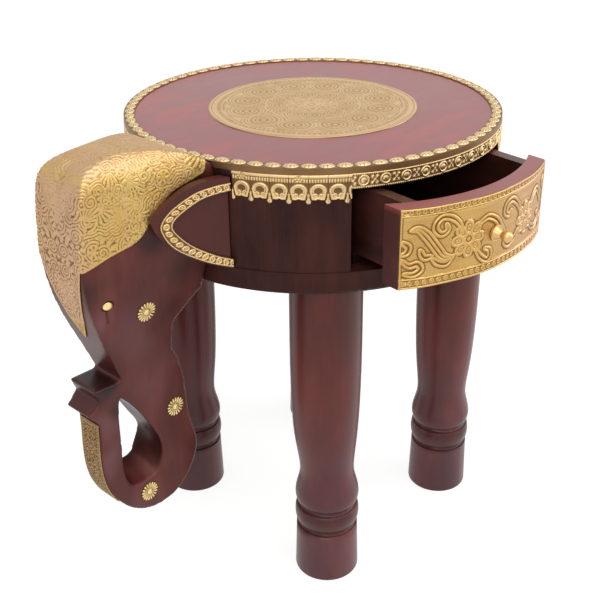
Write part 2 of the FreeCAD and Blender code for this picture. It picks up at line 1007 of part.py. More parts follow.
def ear_point(shares):
    out, rise = shares
    return point(0, -out * ear_length, leg_height + ear_foot_rise + rise * ear_height)


def ear_curve(shares):
    return spline([ear_point(pair) for pair in shares])


def ear_placed(shape):
    """Moves a piece from the ear's own plane to the left side of the head."""
    reach = drum_radius + ear_drum_gap
    rear_y = -math.sqrt(reach ** 2 - ear_rear_half_span ** 2)
    moved = turned(shape, -ear_turn_degrees)
    moved.translate(point(ear_rear_half_span, rear_y, 0))
    return moved


def ear_outline():
    return Part.Face(Part.Wire([
        ear_curve(ear_top_shares),
        ear_curve(ear_lower_shares),
        line(ear_point(ear_lower_shares[-1]), ear_point(ear_top_shares[0])),
    ]))


def ear_dowels(gap=0.0):
    start = ear_pocket_depth + ear_dowel_skin - gap
    return [
        ear_placed(cylinder(
            ear_dowel_radius + gap,
            ear_dowel_length + 2 * gap,
            ear_point(pair) - point(start, 0, 0),
            -along_x,
        ))
        for pair in ear_dowel_shares
    ]


def ear(wood, cover):
    outline = ear_outline()
    board = outline.extrude(point(-ear_thickness, 0, 0))
    root = outline.copy()
    root.scale(ear_root_share, ear_point(ear_root_centre_shares))
    board = board.fuse(root.extrude(point(-ear_root_thickness, 0, 0)))
    rear = point(0, ear_length, 0)
    low, high = ear_point(strip_inner_shares[0]), ear_point(strip_inner_shares[-1])
    pocket = Part.Face(Part.Wire([
        ear_curve(strip_inner_shares),
        line(high, high + rear),
        line(high + rear, low + rear),
        line(low + rear, low),
    ])).extrude(point(-ear_pocket_depth, 0, 0))
    board = ear_placed(board.cut(pocket)).cut(wood).cut(cover)
    for dowel in ear_dowels(glue_gap):
        board = board.cut(dowel)
    return board.cut(cylinder(drum_radius + ear_drum_gap, 2 * stool_height, origin))


def ear_bead_strip():
    face = Part.Face(Part.Wire([
        ear_curve(strip_outer_shares),
        line(ear_point(strip_outer_shares[-1]), ear_point(strip_inner_shares[0])),
        ear_curve(strip_inner_shares),
        line(ear_point(strip_inner_shares[-1]), ear_point(strip_outer_shares[0])),
    ]))
    strip = ear_placed(face.extrude(point(ear_strip_thickness, 0, 0)))
    return strip.cut(cylinder(drum_radius + ear_drum_gap, 2 * stool_height, origin))


# Tacks

def tack(place, axis, gap=0.0):
    """A tack driven in until its flat head is flush with the sheet at the given place. With a gap
    it is the hole for that tack, open above the head."""
    seat = place - axis * tack_head_height
    head_length = tack_head_height + overrun if gap else tack_head_height
    shank = cylinder(tack_radius + gap, tack_length + gap, seat, -axis)
    head = cylinder(tack_head_radius + gap, head_length, seat, axis)
    return shank.fuse(head).removeSplitter()


def medallion_tacks(gap=0.0):
    reach = medallion_radius - tack_edge
    place = point(reach, 0, stool_height + brass_thickness)
    step = 360 / medallion_tack_count
    return [turned(tack(place, up, gap), index * step) for index in range(medallion_tack_count)]


def drawer_face_tacks(gap=0.0):
    turn = math.degrees(math.asin((drawer_front_half_width - tack_edge) / brass_radius))
    tacks = []
    for hand in (-1, 1):
        for height in (drawer_front_floor + tack_edge, drawer_top - tack_edge):
            pin = tack(point(brass_radius, 0, height), along_x, gap)
            tacks.append(turned(pin, hand * turn))
    return tacks


# The finished stool stands on its feet, with the origin in the middle of its box

def middle_of_box():
    knob_reach = drawer_open + brass_radius + knob_length
    x_high = knob_reach * math.cos(math.radians(drawer_turn_degrees))
    y_low = head_point(lip_shares[-2]).y
    return point((x_high - base_radius) / 2, (y_low + base_radius) / 2, 0)


def save(name, shape):
    placed = shape.copy()
    placed.translate(-middle_of_box())
    placed.exportStep(os.path.join("parts", name + ".step"))
    solids = placed.Solids
    print(name, "solids", len(solids), "valid", placed.isValid(), "volume", round(placed.Volume))


def save_drawer(name, shape):
    save(name, into_drum(shape))


def build_drum():
    save("top_board", top_board())
    tack_holes = medallion_tacks(glue_gap)
    save("top_medallion", cut_all(top_medallion(), tack_holes))
    save("medallion_tacks", Part.makeCompound(medallion_tacks()))
    save("rim_band", rim_band())
    save("rim_rosettes", rim_rosettes())
    head_start = head_facing_degrees - fringe_head_clear_degrees
    head_end = head_facing_degrees + fringe_head_clear_degrees
    far = edge_fringe(opening_end_degrees, head_start)
    near = edge_fringe(head_end, 360 + opening_start_degrees)
    save("edge_fringe", Part.makeCompound([far, near]))
    save("edge_band", edge_band())
    for index in range(wall_block_count):
        save("wall_block_" + str(index + 1), wall_block(index))
    save("base_board", base_board())
    save("top_dowels", Part.makeCompound([top_dowel(index) for index in range(wall_block_count)]))
    save("base_screws", Part.makeCompound([base_screw(index) for index in range(wall_block_count)]))
    for name, place in leg_places().items():
        save("leg_" + name, leg(place))
    save("leg_bolts", Part.makeCompound([leg_bolt(place) for place in leg_places().values()]))
    for name, hand in (("left", 1), ("right", -1)):
        save("drawer_runner_" + name, drawer_runner(hand))
        save("drawer_guide_" + name, drawer_guide(hand))


def build_drawer():
    save_drawer("drawer_front", drawer_front())
    save_drawer("drawer_face", drawer_face())
    save_drawer("drawer_side_left", drawer_side(1))
    save_drawer("drawer_side_right", drawer_side(-1))
    save_drawer("drawer_back", drawer_back())
    save_drawer("drawer_bottom", drawer_bottom())
    save_drawer("drawer_dowels", Part.makeCompound(drawer_dowels()))
    save_drawer("drawer_nails", Part.makeCompound(drawer_nails()))
    save_drawer("drawer_face_tacks", Part.makeCompound(drawer_face_tacks()))
    save_drawer("drawer_knob", knob())
    save_drawer("knob_plate", knob_plate())
    save_drawer("knob_screw", knob_screw())


def build_head():
    wood = head_body()
    sunk = head_body(-eye_dish_depth)
    skin = head_body(brass_thickness)
    cover = forehead_brass(wood, skin)
    low_skin = head_body(cheek_rosette_height)
    high_skin = head_body(cheek_rosette_height + cheek_dome_height)
    left_eye = eye(head_body(eye_rise), sunk)
    left_ear = ear(wood, cover)
    left_strip = ear_bead_strip()
    rosettes = Part.makeCompound([
        cheek_rosette(pair, wood, low_skin, high_skin) for pair in cheek_rosette_shares
    ])
    left_dowels = ear_dowels()
    save("head_block", head_block(wood, sunk))
    save("head_screws", Part.makeCompound(head_screws()))
    save("forehead_brass", cover)
    save("trunk_strip", trunk_strip(wood, skin))
    for name, place in (("left", lambda shape: shape), ("right", mirrored)):
        save("ear_" + name, place(left_ear))
        save("ear_bead_strip_" + name, place(left_strip))
        save("ear_dowels_" + name, Part.makeCompound([place(dowel) for dowel in left_dowels]))
        save("eye_" + name, place(left_eye))
        save("cheek_rosettes_" + name, place(rosettes))


os.makedirs("parts", exist_ok=True)
build_drum()
build_drawer()
build_head()
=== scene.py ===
import math
import bmesh
import bpy
import numpy as np
from mathutils import Matrix, Vector
from mathutils.bvhtree import BVHTree


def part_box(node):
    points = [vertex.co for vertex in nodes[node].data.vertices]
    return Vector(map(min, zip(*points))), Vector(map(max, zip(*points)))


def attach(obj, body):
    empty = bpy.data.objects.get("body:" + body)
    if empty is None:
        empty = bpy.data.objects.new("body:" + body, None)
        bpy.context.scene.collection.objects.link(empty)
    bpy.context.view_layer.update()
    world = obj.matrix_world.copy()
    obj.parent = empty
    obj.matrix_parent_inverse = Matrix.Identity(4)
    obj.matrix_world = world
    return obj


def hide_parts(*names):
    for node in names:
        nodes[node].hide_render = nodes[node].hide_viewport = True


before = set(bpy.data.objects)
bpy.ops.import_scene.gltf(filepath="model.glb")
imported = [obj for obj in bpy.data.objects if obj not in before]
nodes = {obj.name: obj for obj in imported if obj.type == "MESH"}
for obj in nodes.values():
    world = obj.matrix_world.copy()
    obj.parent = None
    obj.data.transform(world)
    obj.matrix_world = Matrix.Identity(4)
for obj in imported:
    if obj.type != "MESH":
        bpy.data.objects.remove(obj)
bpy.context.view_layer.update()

mm = 0.001

# The drum's axis and the top's height, read from the frame
topLow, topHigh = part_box("top_board")
axisX = (topLow[0] + topHigh[0]) / 2
axisY = (topLow[1] + topHigh[1]) / 2
topZ = topHigh[2]
drumFrame = Matrix.Translation((axisX, axisY, 0))
axisPlace = np.array([axisX, axisY, 0]) / mm
drumSize = 177.0     # mm, radius of the drum's wall

drawer = {
    "turn": math.radians(-7),
    "pulledOut": 53 * mm,    # as in the photo
}
drawerFrame = (drumFrame @ Matrix.Rotation(drawer["turn"], 4, "Z")
               @ Matrix.Translation((drawer["pulledOut"], 0, 0)))


# Small helpers

def toLinear(hexColour):
    # An sRGB hex colour as linear red, green, blue and cover
    channels = [int(hexColour[i:i + 2], 16) / 255 for i in (1, 3, 5)]
    linear = [c / 12.92 if c <= 0.04045 else ((c + 0.055) / 1.055) ** 2.4 for c in channels]
    return (*linear, int(hexColour[7:] or "FF", 16) / 255)


def addNode(tree, kind, settings=None):
    # Adds a node with its settings: a socket among them is linked, any other value is set
    node = tree.nodes.new(kind)
    for key, value in (settings or {}).items():
        if isinstance(value, bpy.types.NodeSocket):
            tree.links.new(value, node.inputs[key])
        elif isinstance(key, int) or key in node.inputs:
            node.inputs[key].default_value = value
        else:
            setattr(node, key, value)
    return node


def newMaterial(name):
    material = bpy.data.materials.new(name)
    material.use_nodes = True
    tree = material.node_tree
    tree.nodes.clear()
    return material, tree


def rampStops(node, stops):
    ramp = node.color_ramp
    while len(ramp.elements) < len(stops):
        ramp.elements.new(0.5)
    for element, (position, colour) in zip(ramp.elements, stops):
        element.position = position
        element.color = colour


def addObject(name, data):
    made = bpy.data.objects.new(name, data)
    bpy.context.scene.collection.objects.link(made)
    return made


def meshFrom(name, bm):
    mesh = bpy.data.meshes.new(name)
    bm.to_mesh(mesh)
    bm.free()
    return mesh


def editMesh(mesh, change):
    bm = bmesh.new()
    bm.from_mesh(mesh)
    change(bm)
    bm.to_mesh(mesh)
    bm.free()


def pieceFrom(name, mesh, material, replaced, body="carcass", smooth=True):
    piece = addObject(name, mesh)
    mesh.materials.clear()
    mesh.materials.append(material)
    if smooth:
        mesh.shade_smooth()
    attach(piece, body)
    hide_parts(*replaced)


def meshPoints(mesh):
    flat = np.empty(len(mesh.vertices) * 3)
    mesh.vertices.foreach_get("co", flat)
    return flat.reshape(-1, 3)


def storeValues(mesh, name, values):
    layer = mesh.attributes.new(name, "FLOAT", "POINT")
    layer.data.foreach_set("value", values.astype(np.float32))


def storeHollow(mesh, raised):
    # 0 on the raised lines and 1 in the hollows, for the dirt in the brass, and for painted shade where the
    # foot of a line is passed in
    storeValues(mesh, "hollow", 1 - np.clip(raised, 0, 1))


def footDirtAndShade(raised):
    # Dirt and painted shade gather at the foot of each line: 1 there, 0 on the line and on the open ground
    return np.clip(2.5 * (raised ** 0.25 - 1.6 * raised), 0, 1)


def fromAxis(points):
    # Points in mm from the drum's axis
    return np.array(points) / mm - axisPlace


def meshNormals(mesh):
    flat = np.empty(len(mesh.vertices) * 3)
    mesh.vertices.foreach_get("normal", flat)
    return flat.reshape(-1, 3)


def setPoints(mesh, points):
    mesh.vertices.foreach_set("co", points.astype(np.float32).ravel())
    mesh.update()


def placed(points, matrix):
    rotation = np.array(matrix.to_3x3())
    return points @ rotation.T + np.array(matrix.translation)


# Materials

woods = {
    "darkStain": "#2C100F",
    "deepRed": "#5A2823",
    "warmRed": "#77352D",
    "wallBrown": "#45231D",
    "wallWarm": "#583028",
    "headRed": "#6C322C",
    "headWarm": "#85463D",
    "topRed": "#8A3636",
    "topWarm": "#A54342",
    "innerStain": "#2A1412",
    # painted shade over the wood's darker tone, and painted sheen, a mauve reflection, over its lighter tone
    "grime": "#241311",
    "rubbed": "#8F5C60",
    "grainWidth": 1.6,       # mm
    "grainLength": 55.0,     # mm
    "patchWidth": 40.0,      # mm, uneven dye
    "patchLength": 110.0,    # mm
    "legDark": "#3A1815",
    "legRed": "#6B2C26",
    "legWarm": "#93463C",
    # height in mm and colour, whose last two digits say how much it covers
    # painted sheen, a mauve grey on the foot and lower leg; painted shade in the ring grooves at 56 and 74
    # mm, a greyer ring between; the upper leg redder
    "legHeights": [(0, "#6A464C8C"), (50, "#6E4A528C"), (56, "#2A16168C"), (66, "#5038388C"),
                   (74, "#2A16168C"), (84, "#6A464C8C"), (140, "#7444488C"), (220, "#7A38308C"),
                   (330, "#54201A8C")],
    # painted sheen: the drawer front's upward top edge lighter and pinker, over a darker face below
    "drawerHeights": [(340, "#481F1D8C"), (411, "#481F1D8C"), (415, "#A854508C"), (417, "#A854508C")],
    # painted shadow: the top board's edge below the rim darkened almost black
    "topHeights": [(400, "#160909F0"), (433.5, "#160909F0"), (435.3, "#16090900"), (440, "#16090900")],
}


def heightTint(tree, place, heights):
    # Cover and colour of a ramp up the object, from pairs of height in mm and colour
    low, tall = heights[0][0], heights[-1][0] - heights[0][0]
    split = addNode(tree, "ShaderNodeSeparateXYZ", {0: place})
    height = addNode(tree, "ShaderNodeMapRange", {
        "Value": split.outputs["Z"], "From Min": low * mm, "From Max": (low + tall) * mm})
    tint = addNode(tree, "ShaderNodeValToRGB", {"Fac": height.outputs["Result"]})
    rampStops(tint, [((z - low) / tall, toLinear(shade)) for z, shade in heights])
    return tint.outputs["Alpha"], tint.outputs["Color"]


def attributeShare(tree, name, start, end, most):
    # How far a value painted on the mesh has gone from start to end, up to most
    value = addNode(tree, "ShaderNodeAttribute", {"attribute_name": name})
    share = addNode(tree, "ShaderNodeMapRange", {
        "Value": value.outputs["Fac"], "From Min": start, "From Max": end, "To Max": most})
    return share.outputs["Result"]


def layered(tree, colour, layers):
    # Lays colours over one another, each by its share; all are values or sockets
    for share, over in layers:
        mix = addNode(tree, "ShaderNodeMix", {"data_type": "RGBA", 0: share, 6: colour, 7: over})
        colour = mix.outputs[2]
    return colour


def polishedMahogany(name, along, dyes, coat=0.0, gloss=0.16, heights=()):
    # Mahogany, dyed red-brown by hand and rubbed with shellac: deep uneven colour under a thin polish, with
    # painted shade and painted sheen laid over it where the mesh carries them
    material, tree = newMaterial(name)
    dark, middle, warm = (toLinear(woods[woodColourKey]) for woodColourKey in dyes.split())
    place = addNode(tree, "ShaderNodeTexCoord").outputs["Object"]
    noises = []
    for width, length, detail in ((woods["grainWidth"], woods["grainLength"], 4.0),
                                  (woods["patchWidth"], woods["patchLength"], 3.0)):
        stretch = [1.0 / (width * mm)] * 3
        stretch[along] = 1.0 / (length * mm)
        mapping = addNode(tree, "ShaderNodeMapping", {"Vector": place, "Scale": stretch})
        noise = addNode(tree, "ShaderNodeTexNoise", {
            "Vector": mapping.outputs["Vector"], "Scale": 1.0, "Detail": detail, "Roughness": 0.6})
        noises.append(noise.outputs["Fac"])
    grain, patch = noises
    grainColour = addNode(tree, "ShaderNodeValToRGB", {"Fac": grain})
    rampStops(grainColour, [(0.3, dark), (0.62, middle)])
    patchColour = addNode(tree, "ShaderNodeValToRGB", {"Fac": patch})
    rampStops(patchColour, [(0.34, dark), (0.5, middle), (0.62, warm)])
    layers = [(0.65, patchColour.outputs["Color"])]
    if heights:
        layers.append(heightTint(tree, place, heights))
    # painted shade below zero and painted sheen above zero, as the mesh's value says
    for woodColourKey, end, most in (("grime", -1.0, 0.9), ("rubbed", 1.0, 0.6)):
        layers.append((attributeShare(tree, "stain", 0.0, end, most), toLinear(woods[woodColourKey])))
    rough = addNode(tree, "ShaderNodeMapRange", {"Value": patch, "To Min": 0.25, "To Max": 0.5})
    bump = addNode(tree, "ShaderNodeBump", {"Height": grain, "Strength": 0.25, "Distance": 0.15 * mm})
    shader = addNode(tree, "ShaderNodeBsdfPrincipled", {
        "Base Color": layered(tree, grainColour.outputs["Color"], layers),
        "Roughness": rough.outputs["Result"], "Normal": bump.outputs["Normal"],
        "IOR": 1.5, "Specular IOR Level": gloss,
        "Coat Weight": coat, "Coat Roughness": 0.2, "Coat IOR": 1.5})
    addNode(tree, "ShaderNodeOutputMaterial", {"Surface": shader.outputs["BSDF"]})
    return material


brasses = {
    "bright": "#DFBD80",
    "pale": "#DCC096",
    "tarnish": "#5A3A18",
    "dirt": "#2A160C",
    "handled": "#C9A583",  # painted shade, laid where the mesh's shade value says
    "cloudSize": 28.0,     # mm, clouds of tarnish
    "speckSize": 1.3,      # mm, planishing and specks
}


def sheetBrass(name, worn, ground, roughness=0.34, dirtAndShadeAmount=0.85, speck=0.2, dirt="tarnish"):
    # Thin yellow brass, pressed over a pattern: worn bright on the ridges, brown in the hollows, with painted
    # shade there on some sheets
    material, tree = newMaterial(name)
    place = addNode(tree, "ShaderNodeTexCoord").outputs["Object"]
    hollow = addNode(tree, "ShaderNodeAttribute", {"attribute_name": "hollow"})
    cloud, specks = (addNode(tree, "ShaderNodeTexNoise", {
        "Vector": place, "Scale": 1.0 / (brasses[size] * mm), "Detail": detail,
    }).outputs["Fac"] for size, detail in (("cloudSize", 3.0), ("speckSize", 2.0)))
    colour = layered(tree, toLinear(worn), [
        (cloud, toLinear(ground)),
        # painted shade, blended in by the mesh's shade value
        (attributeShare(tree, "shade", 0.0, 1.0, 1.0), toLinear(brasses["handled"])),
        (attributeShare(tree, "hollow", 0.4, 1.0, dirtAndShadeAmount), toLinear(brasses[dirt])),
    ])
    rough = addNode(tree, "ShaderNodeMapRange", {
        "Value": hollow.outputs["Fac"], "To Min": roughness, "To Max": roughness + 0.25})
    bump = addNode(tree, "ShaderNodeBump", {"Height": specks, "Strength": speck, "Distance": 0.2 * mm})
    shader = addNode(tree, "ShaderNodeBsdfPrincipled", {
        "Base Color": colour, "Roughness": rough.outputs["Result"], "Normal": bump.outputs["Normal"],
        "Metallic": 1.0})
    addNode(tree, "ShaderNodeOutputMaterial", {"Surface": shader.outputs["BSDF"]})
    return material


def turnedSteel(name):
    # Zinc-plated screw steel: grey, dull and slightly streaked
    material, tree = newMaterial(name)
    place = addNode(tree, "ShaderNodeTexCoord").outputs["Object"]
    streak = addNode(tree, "ShaderNodeTexNoise", {"Vector": place, "Scale": 400.0, "Detail": 2.0})
    rough = addNode(tree, "ShaderNodeMapRange", {
        "Value": streak.outputs["Fac"], "To Min": 0.3, "To Max": 0.5})
    shader = addNode(tree, "ShaderNodeBsdfPrincipled", {
        "Base Color": toLinear("#A9A9A6"), "Metallic": 1.0, "Roughness": rough.outputs["Result"]})
    addNode(tree, "ShaderNodeOutputMaterial", {"Surface": shader.outputs["BSDF"]})
    return material


mahoganyLeg = polishedMahogany("mahoganyTurnedLeg", 2, "legDark legRed legWarm", 0.1, 0.3,
                               woods["legHeights"])
mahoganyWall = polishedMahogany("mahoganyWallGrain", 2, "darkStain wallBrown wallWarm")
mahoganyEar = polishedMahogany("mahoganyEarGrain", 2, "wallBrown deepRed deepRed", 0.1, 0.25)
mahoganyHead = polishedMahogany("mahoganyCarvedHead", 2, "deepRed headRed headWarm", 0.08, 0.22)
mahoganyTop = polishedMahogany("mahoganyTopGrain", 1, "topRed topRed topWarm", 0.3, 0.5,
                               woods["topHeights"])
mahoganyDrawer = polishedMahogany("mahoganyDrawerGrain", 1, "deepRed deepRed warmRed", 0.25, 0.4,
                                  woods["drawerHeights"])
mahoganySide = polishedMahogany("stainedSideGrain", 0, "innerStain wallBrown deepRed", 0.15, 0.3)
innerWood = polishedMahogany("stainedInnerGrain", 0, "innerStain innerStain wallBrown")
paleSheet = sheetBrass("paleSheetBrass", brasses["pale"], "#C9A678", 0.42, 0.5, 0.25)
coverSheet = sheetBrass("crownCoverBrass", "#D8BF7C", "#BF9350", 0.42, 0.8, 0.2)
stripSheet = sheetBrass("trunkStripBrass", "#B99C72", "#92744F", 0.42, 0.92, 0.3)
edgeBrass = sheetBrass("pressedEdgeBrass", brasses["bright"], brasses["pale"], 0.35, 0.75, 0.1)
fringeBrass = sheetBrass("castFringeBrass", brasses["pale"], brasses["bright"], 0.38, 0.85, 0.1)
drawerSheet = sheetBrass("drawerSheetBrass", "#D6B474", "#BE9454", 0.38, 0.82, 0.5)
paleRosette = sheetBrass("paleRimRosette", "#E2C898", brasses["pale"], 0.42, 0.95, 0.1, "dirt")
rosetteBrass = sheetBrass("cheekRosetteBrass", "#F3DCA2", "#E6C583", 0.3, 0.97, 0.05, "dirt")
agedBrass = sheetBrass("agedPlainBrass", "#8E6E4C", "#6F5238", 0.45, 0.8, 0.3)
knobBrass = sheetBrass("turnedKnobBrass", "#CBA272", brasses["bright"], 0.42, 0.6, 0.05)
screwSteel = turnedSteel("platedSteel")
print("materials ready")

woodOf = [
    # start of a node's name and its material; the first that fits is used
    ("top_board", mahoganyTop), ("leg_bolts", screwSteel), ("leg_", mahoganyLeg), ("wall_", mahoganyWall),
    ("base_board", mahoganyWall), ("ear_dowels", innerWood), ("ear_bead", edgeBrass), ("ear_", mahoganyEar),
    ("drawer_front", mahoganyDrawer), ("drawer_side", mahoganySide), ("drawer_knob", knobBrass),
    ("knob_plate", knobBrass), ("rim_band", agedBrass),
]
for name, node in nodes.items():
    material = next((wood for start, wood in woodOf if name.startswith(start)), None)
    if material is None and ("screw" in name or "nail" in name):
        material = screwSteel
    if material is None:
        metal = node.material_slots and "brass" in node.material_slots[0].material.name
        material = edgeBrass if metal else innerWood
    for slot in node.material_slots:
        slot.material = material


# Camera, light and floor

view = {
    "azimuth": math.radians(43.24),
    "elevation": math.radians(27.39),
    "roll": math.radians(-0.578),
    "place": (633.0 * mm, -693.3 * mm, 713.8 * mm),   # from the drum's foot point
    "lens": 60.63,
}
cameraData = bpy.data.cameras.new("camera")
cameraData.lens = view["lens"]
cameraData.sensor_width = 36
camera = addObject("camera", cameraData)
camera.matrix_world = (
    Matrix.Translation(drumFrame @ Vector(view["place"]))
    @ Matrix.Rotation(view["azimuth"], 4, "Z")
    @ Matrix.Rotation(math.pi / 2 - view["elevation"], 4, "X")
    @ Matrix.Rotation(view["roll"], 4, "Z")
)
bpy.context.scene.camera = camera

studio = {
    "worldLight": 0.42,
    "lamps": [
        # name, place, size, watts
        ("topLamp", (0.9, 0.2, 2.1), 1.7, 21.0),
        ("frontLamp", (1.1, -1.6, 1.4), 1.0, 9.0),
        ("sideLamp", (1.2, 1.7, 0.8), 1.3, 12.0),
    ],
    "floorColour": "#9C9B99",
    "floorGlow": 0.86,
}


def addLamp(name, place, size, watts):
    data = bpy.data.lights.new(name, "AREA")
    data.energy = watts
    data.size = size
    lamp = addObject(name, data)
    lamp.location = place
    aim = Vector((axisX, axisY, 0.25)) - Vector(place)
    lamp.rotation_euler = aim.to_track_quat("-Z", "Y").to_euler()


for lamp in studio["lamps"]:
    addLamp(*lamp)


def raysSeen(tree):
    # 1 for what the camera sees directly, in a reflection or through glass
    rays = addNode(tree, "ShaderNodeLightPath").outputs
    seen = rays["Is Camera Ray"]
    for other in ("Is Transmission Ray", "Is Glossy Ray"):
        either = addNode(tree, "ShaderNodeMath", {"operation": "MAXIMUM", 0: seen, 1: rays[other]})
        seen = either.outputs["Value"]
    return seen


world = bpy.data.worlds.new("softStudio")
bpy.context.scene.world = world
world.use_nodes = True
worldTree = world.node_tree
worldTree.nodes.clear()
strength = addNode(worldTree, "ShaderNodeMapRange", {
    "Value": raysSeen(worldTree), "To Min": studio["worldLight"], "To Max": 1.0})
sky = addNode(worldTree, "ShaderNodeBackground", {
    "Color": (1, 1, 1, 1), "Strength": strength.outputs["Result"]})
addNode(worldTree, "ShaderNodeOutputWorld", {"Surface": sky.outputs["Background"]})

floorBm = bmesh.new()
bmesh.ops.create_grid(floorBm, x_segments=1, y_segments=1, size=30.0)
floorMesh = meshFrom("floor", floorBm)
floorMaterial, floorTree = newMaterial("paperFloor")
floorMesh.materials.append(floorMaterial)
diffuse = addNode(floorTree, "ShaderNodeBsdfDiffuse", {"Color": toLinear(studio["floorColour"])}).outputs[0]
glow = addNode(floorTree, "ShaderNodeEmission", {"Strength": studio["floorGlow"]}).outputs[0]
glowing = addNode(floorTree, "ShaderNodeAddShader", {0: diffuse, 1: glow}).outputs[0]
floorMix = addNode(floorTree, "ShaderNodeMixShader", {0: raysSeen(floorTree), 1: diffuse, 2: glowing})
addNode(floorTree, "ShaderNodeOutputMaterial", {"Surface": floorMix.outputs[0]})
floor = addObject("floor", floorMesh)
bpy.context.scene.view_settings.view_transform = "Standard"
print("camera, lamps and floor ready")


# Pressed brass: a flat grid (across, up, out) in mm, with its edge folded back to the wood

def foldedEdge(bm):
    # Extrudes the sheet's open edge and returns the new points
    rim = [edge for edge in bm.edges if edge.is_boundary]
    folded = bmesh.ops.extrude_edge_only(bm, edges=rim)
    return [item for item in folded["geom"] if isinstance(item, bmesh.types.BMVert)]


def flatGrid(name, cols, rows):
    bm = bmesh.new()
    bmesh.ops.create_grid(bm, x_segments=cols, y_segments=rows, size=0.5)
    for vert in bm.verts:
        vert.co.z = 1
    for vert in foldedEdge(bm):
        vert.co.z = 0
    bmesh.ops.recalc_face_normals(bm, faces=bm.faces)
    return meshFrom(name, bm)


def addCopy(bm, mesh, matrix):
    start = len(bm.verts)
    bm.from_mesh(mesh)
    bm.verts.ensure_lookup_table()
    bmesh.ops.transform(bm, matrix=matrix, verts=bm.verts[start:])


def dropFaces(bm, isOut):
    # Deletes the faces that isOut finds by their middles and normals
    faces = list(bm.faces)
    middles = np.array([face.calc_center_median() for face in faces])
    normals = np.array([face.normal for face in faces])
    gone = [face for face, out in zip(faces, isOut(middles, normals)) if out]
    bmesh.ops.delete(bm, geom=gone, context="FACES")


def closeSeams(bm):
    # Joins the ends of a sheet that meet, and turns its faces outwards
    bmesh.ops.remove_doubles(bm, verts=bm.verts, dist=0.02 * mm)
    bmesh.ops.recalc_face_normals(bm, faces=bm.faces)


def pressedOut(grid, sheet, raised):
    # Height of the sheet's face over the wood, and 0 on its folded edge
    return np.where(grid[:, 2] > 0.5, sheet["sheet"] + sheet["relief"] * raised, 0)


def ridge(distance, width):
    return np.exp(-(distance / width) ** 2)


def bulge(distance, width, top=1.0):
    # A rounded swell, flat where it would rise past 1
    return np.clip(top - (distance / width) ** 2, 0, 1)


def fadeIn(value, start, length):
    # 0 up to the start, rising to 1 over the length
    return np.clip((value - start) / length, 0, 1)


def stronger(*heights):
    return np.maximum.reduce(heights)


def handDrawn(x, y, size, amount):
    # A slow drift of the lines, as of a pattern chased by hand
    dx = np.sin(y / size + 0.7) + 0.6 * np.sin((x + y) / (size * 0.61) + 2.1)
    dy = np.sin(x / size + 1.9) + 0.6 * np.sin((x - y) / (size * 0.73) + 0.4)
    return x + amount * dx, y + amount * dy


def smoothLine(points, perSpan=14):
    # A Catmull-Rom curve through the given points
    p = np.array(points, float)
    ends = np.vstack([2 * p[0] - p[1], p, 2 * p[-1] - p[-2]])
    t = np.linspace(0, 1, perSpan, endpoint=False)[:, None]
    spans = []
    for i in range(len(p) - 1):
        a, b, c, d = ends[i:i + 4]
        spans.append(0.5 * (2 * b + (c - a) * t + (2 * a - 5 * b + 4 * c - d) * t ** 2
                            + (3 * b - a - 3 * c + d) * t ** 3))
    return np.vstack(spans + [p[-1:]])


def lengthsAlong(line):
    return np.concatenate([[0], np.cumsum(np.hypot(*np.diff(line, axis=0).T))])


def lineDistance(x, y, line, reach=9.0):
    # Distance to a polyline, the length along it, for points near it, and its whole length
    lengths = lengthsAlong(line)
    best = np.full(x.shape, 1e3)
    along = np.zeros(x.shape)
    low, high = line.min(0) - reach, line.max(0) + reach
    near = np.nonzero((x > low[0]) & (x < high[0]) & (y > low[1]) & (y < high[1]))[0]
    px, py = x[near], y[near]
    nearBest, nearAlong = best[near], along[near]
    for (ax, ay), (bx, by), start in zip(line[:-1], line[1:], lengths):
        dx, dy = bx - ax, by - ay
        size = math.hypot(dx, dy) + 1e-9
        t = np.clip(((px - ax) * dx + (py - ay) * dy) / size ** 2, 0, 1)
        d = np.hypot(px - ax - t * dx, py - ay - t * dy)
        closer = d < nearBest
        nearBest[closer] = d[closer]
        nearAlong[closer] = start + t[closer] * size
    best[near], along[near] = nearBest, nearAlong
    return best, along, lengths[-1]


def fromNearest(turn, count):
    # Angle from the nearest of so many even steps round
    step = 2 * math.pi / count
    return turn - np.round(turn / step) * step


# Medallion in the middle of the top

medallion = {
    "radius": 99.0,
    "sheet": 0.55,         # mm, ground above the wood
    "relief": 0.45,
    "drift": (15.0, 0.55),     # mm, size and amount of the hand's drift
    "outerRings": (86.2, 97.2),
    "fanRing": 88.5,
    "shellCount": 12,
    "shellRing": 65.0,
    "shellRadius": 19.5,
    "innerRing": 45.0,
    "scaleRing": 34.0,
    "flowerRing": 23.8,
    "petalCount": 8,
    "petalRing": 14.0,
}


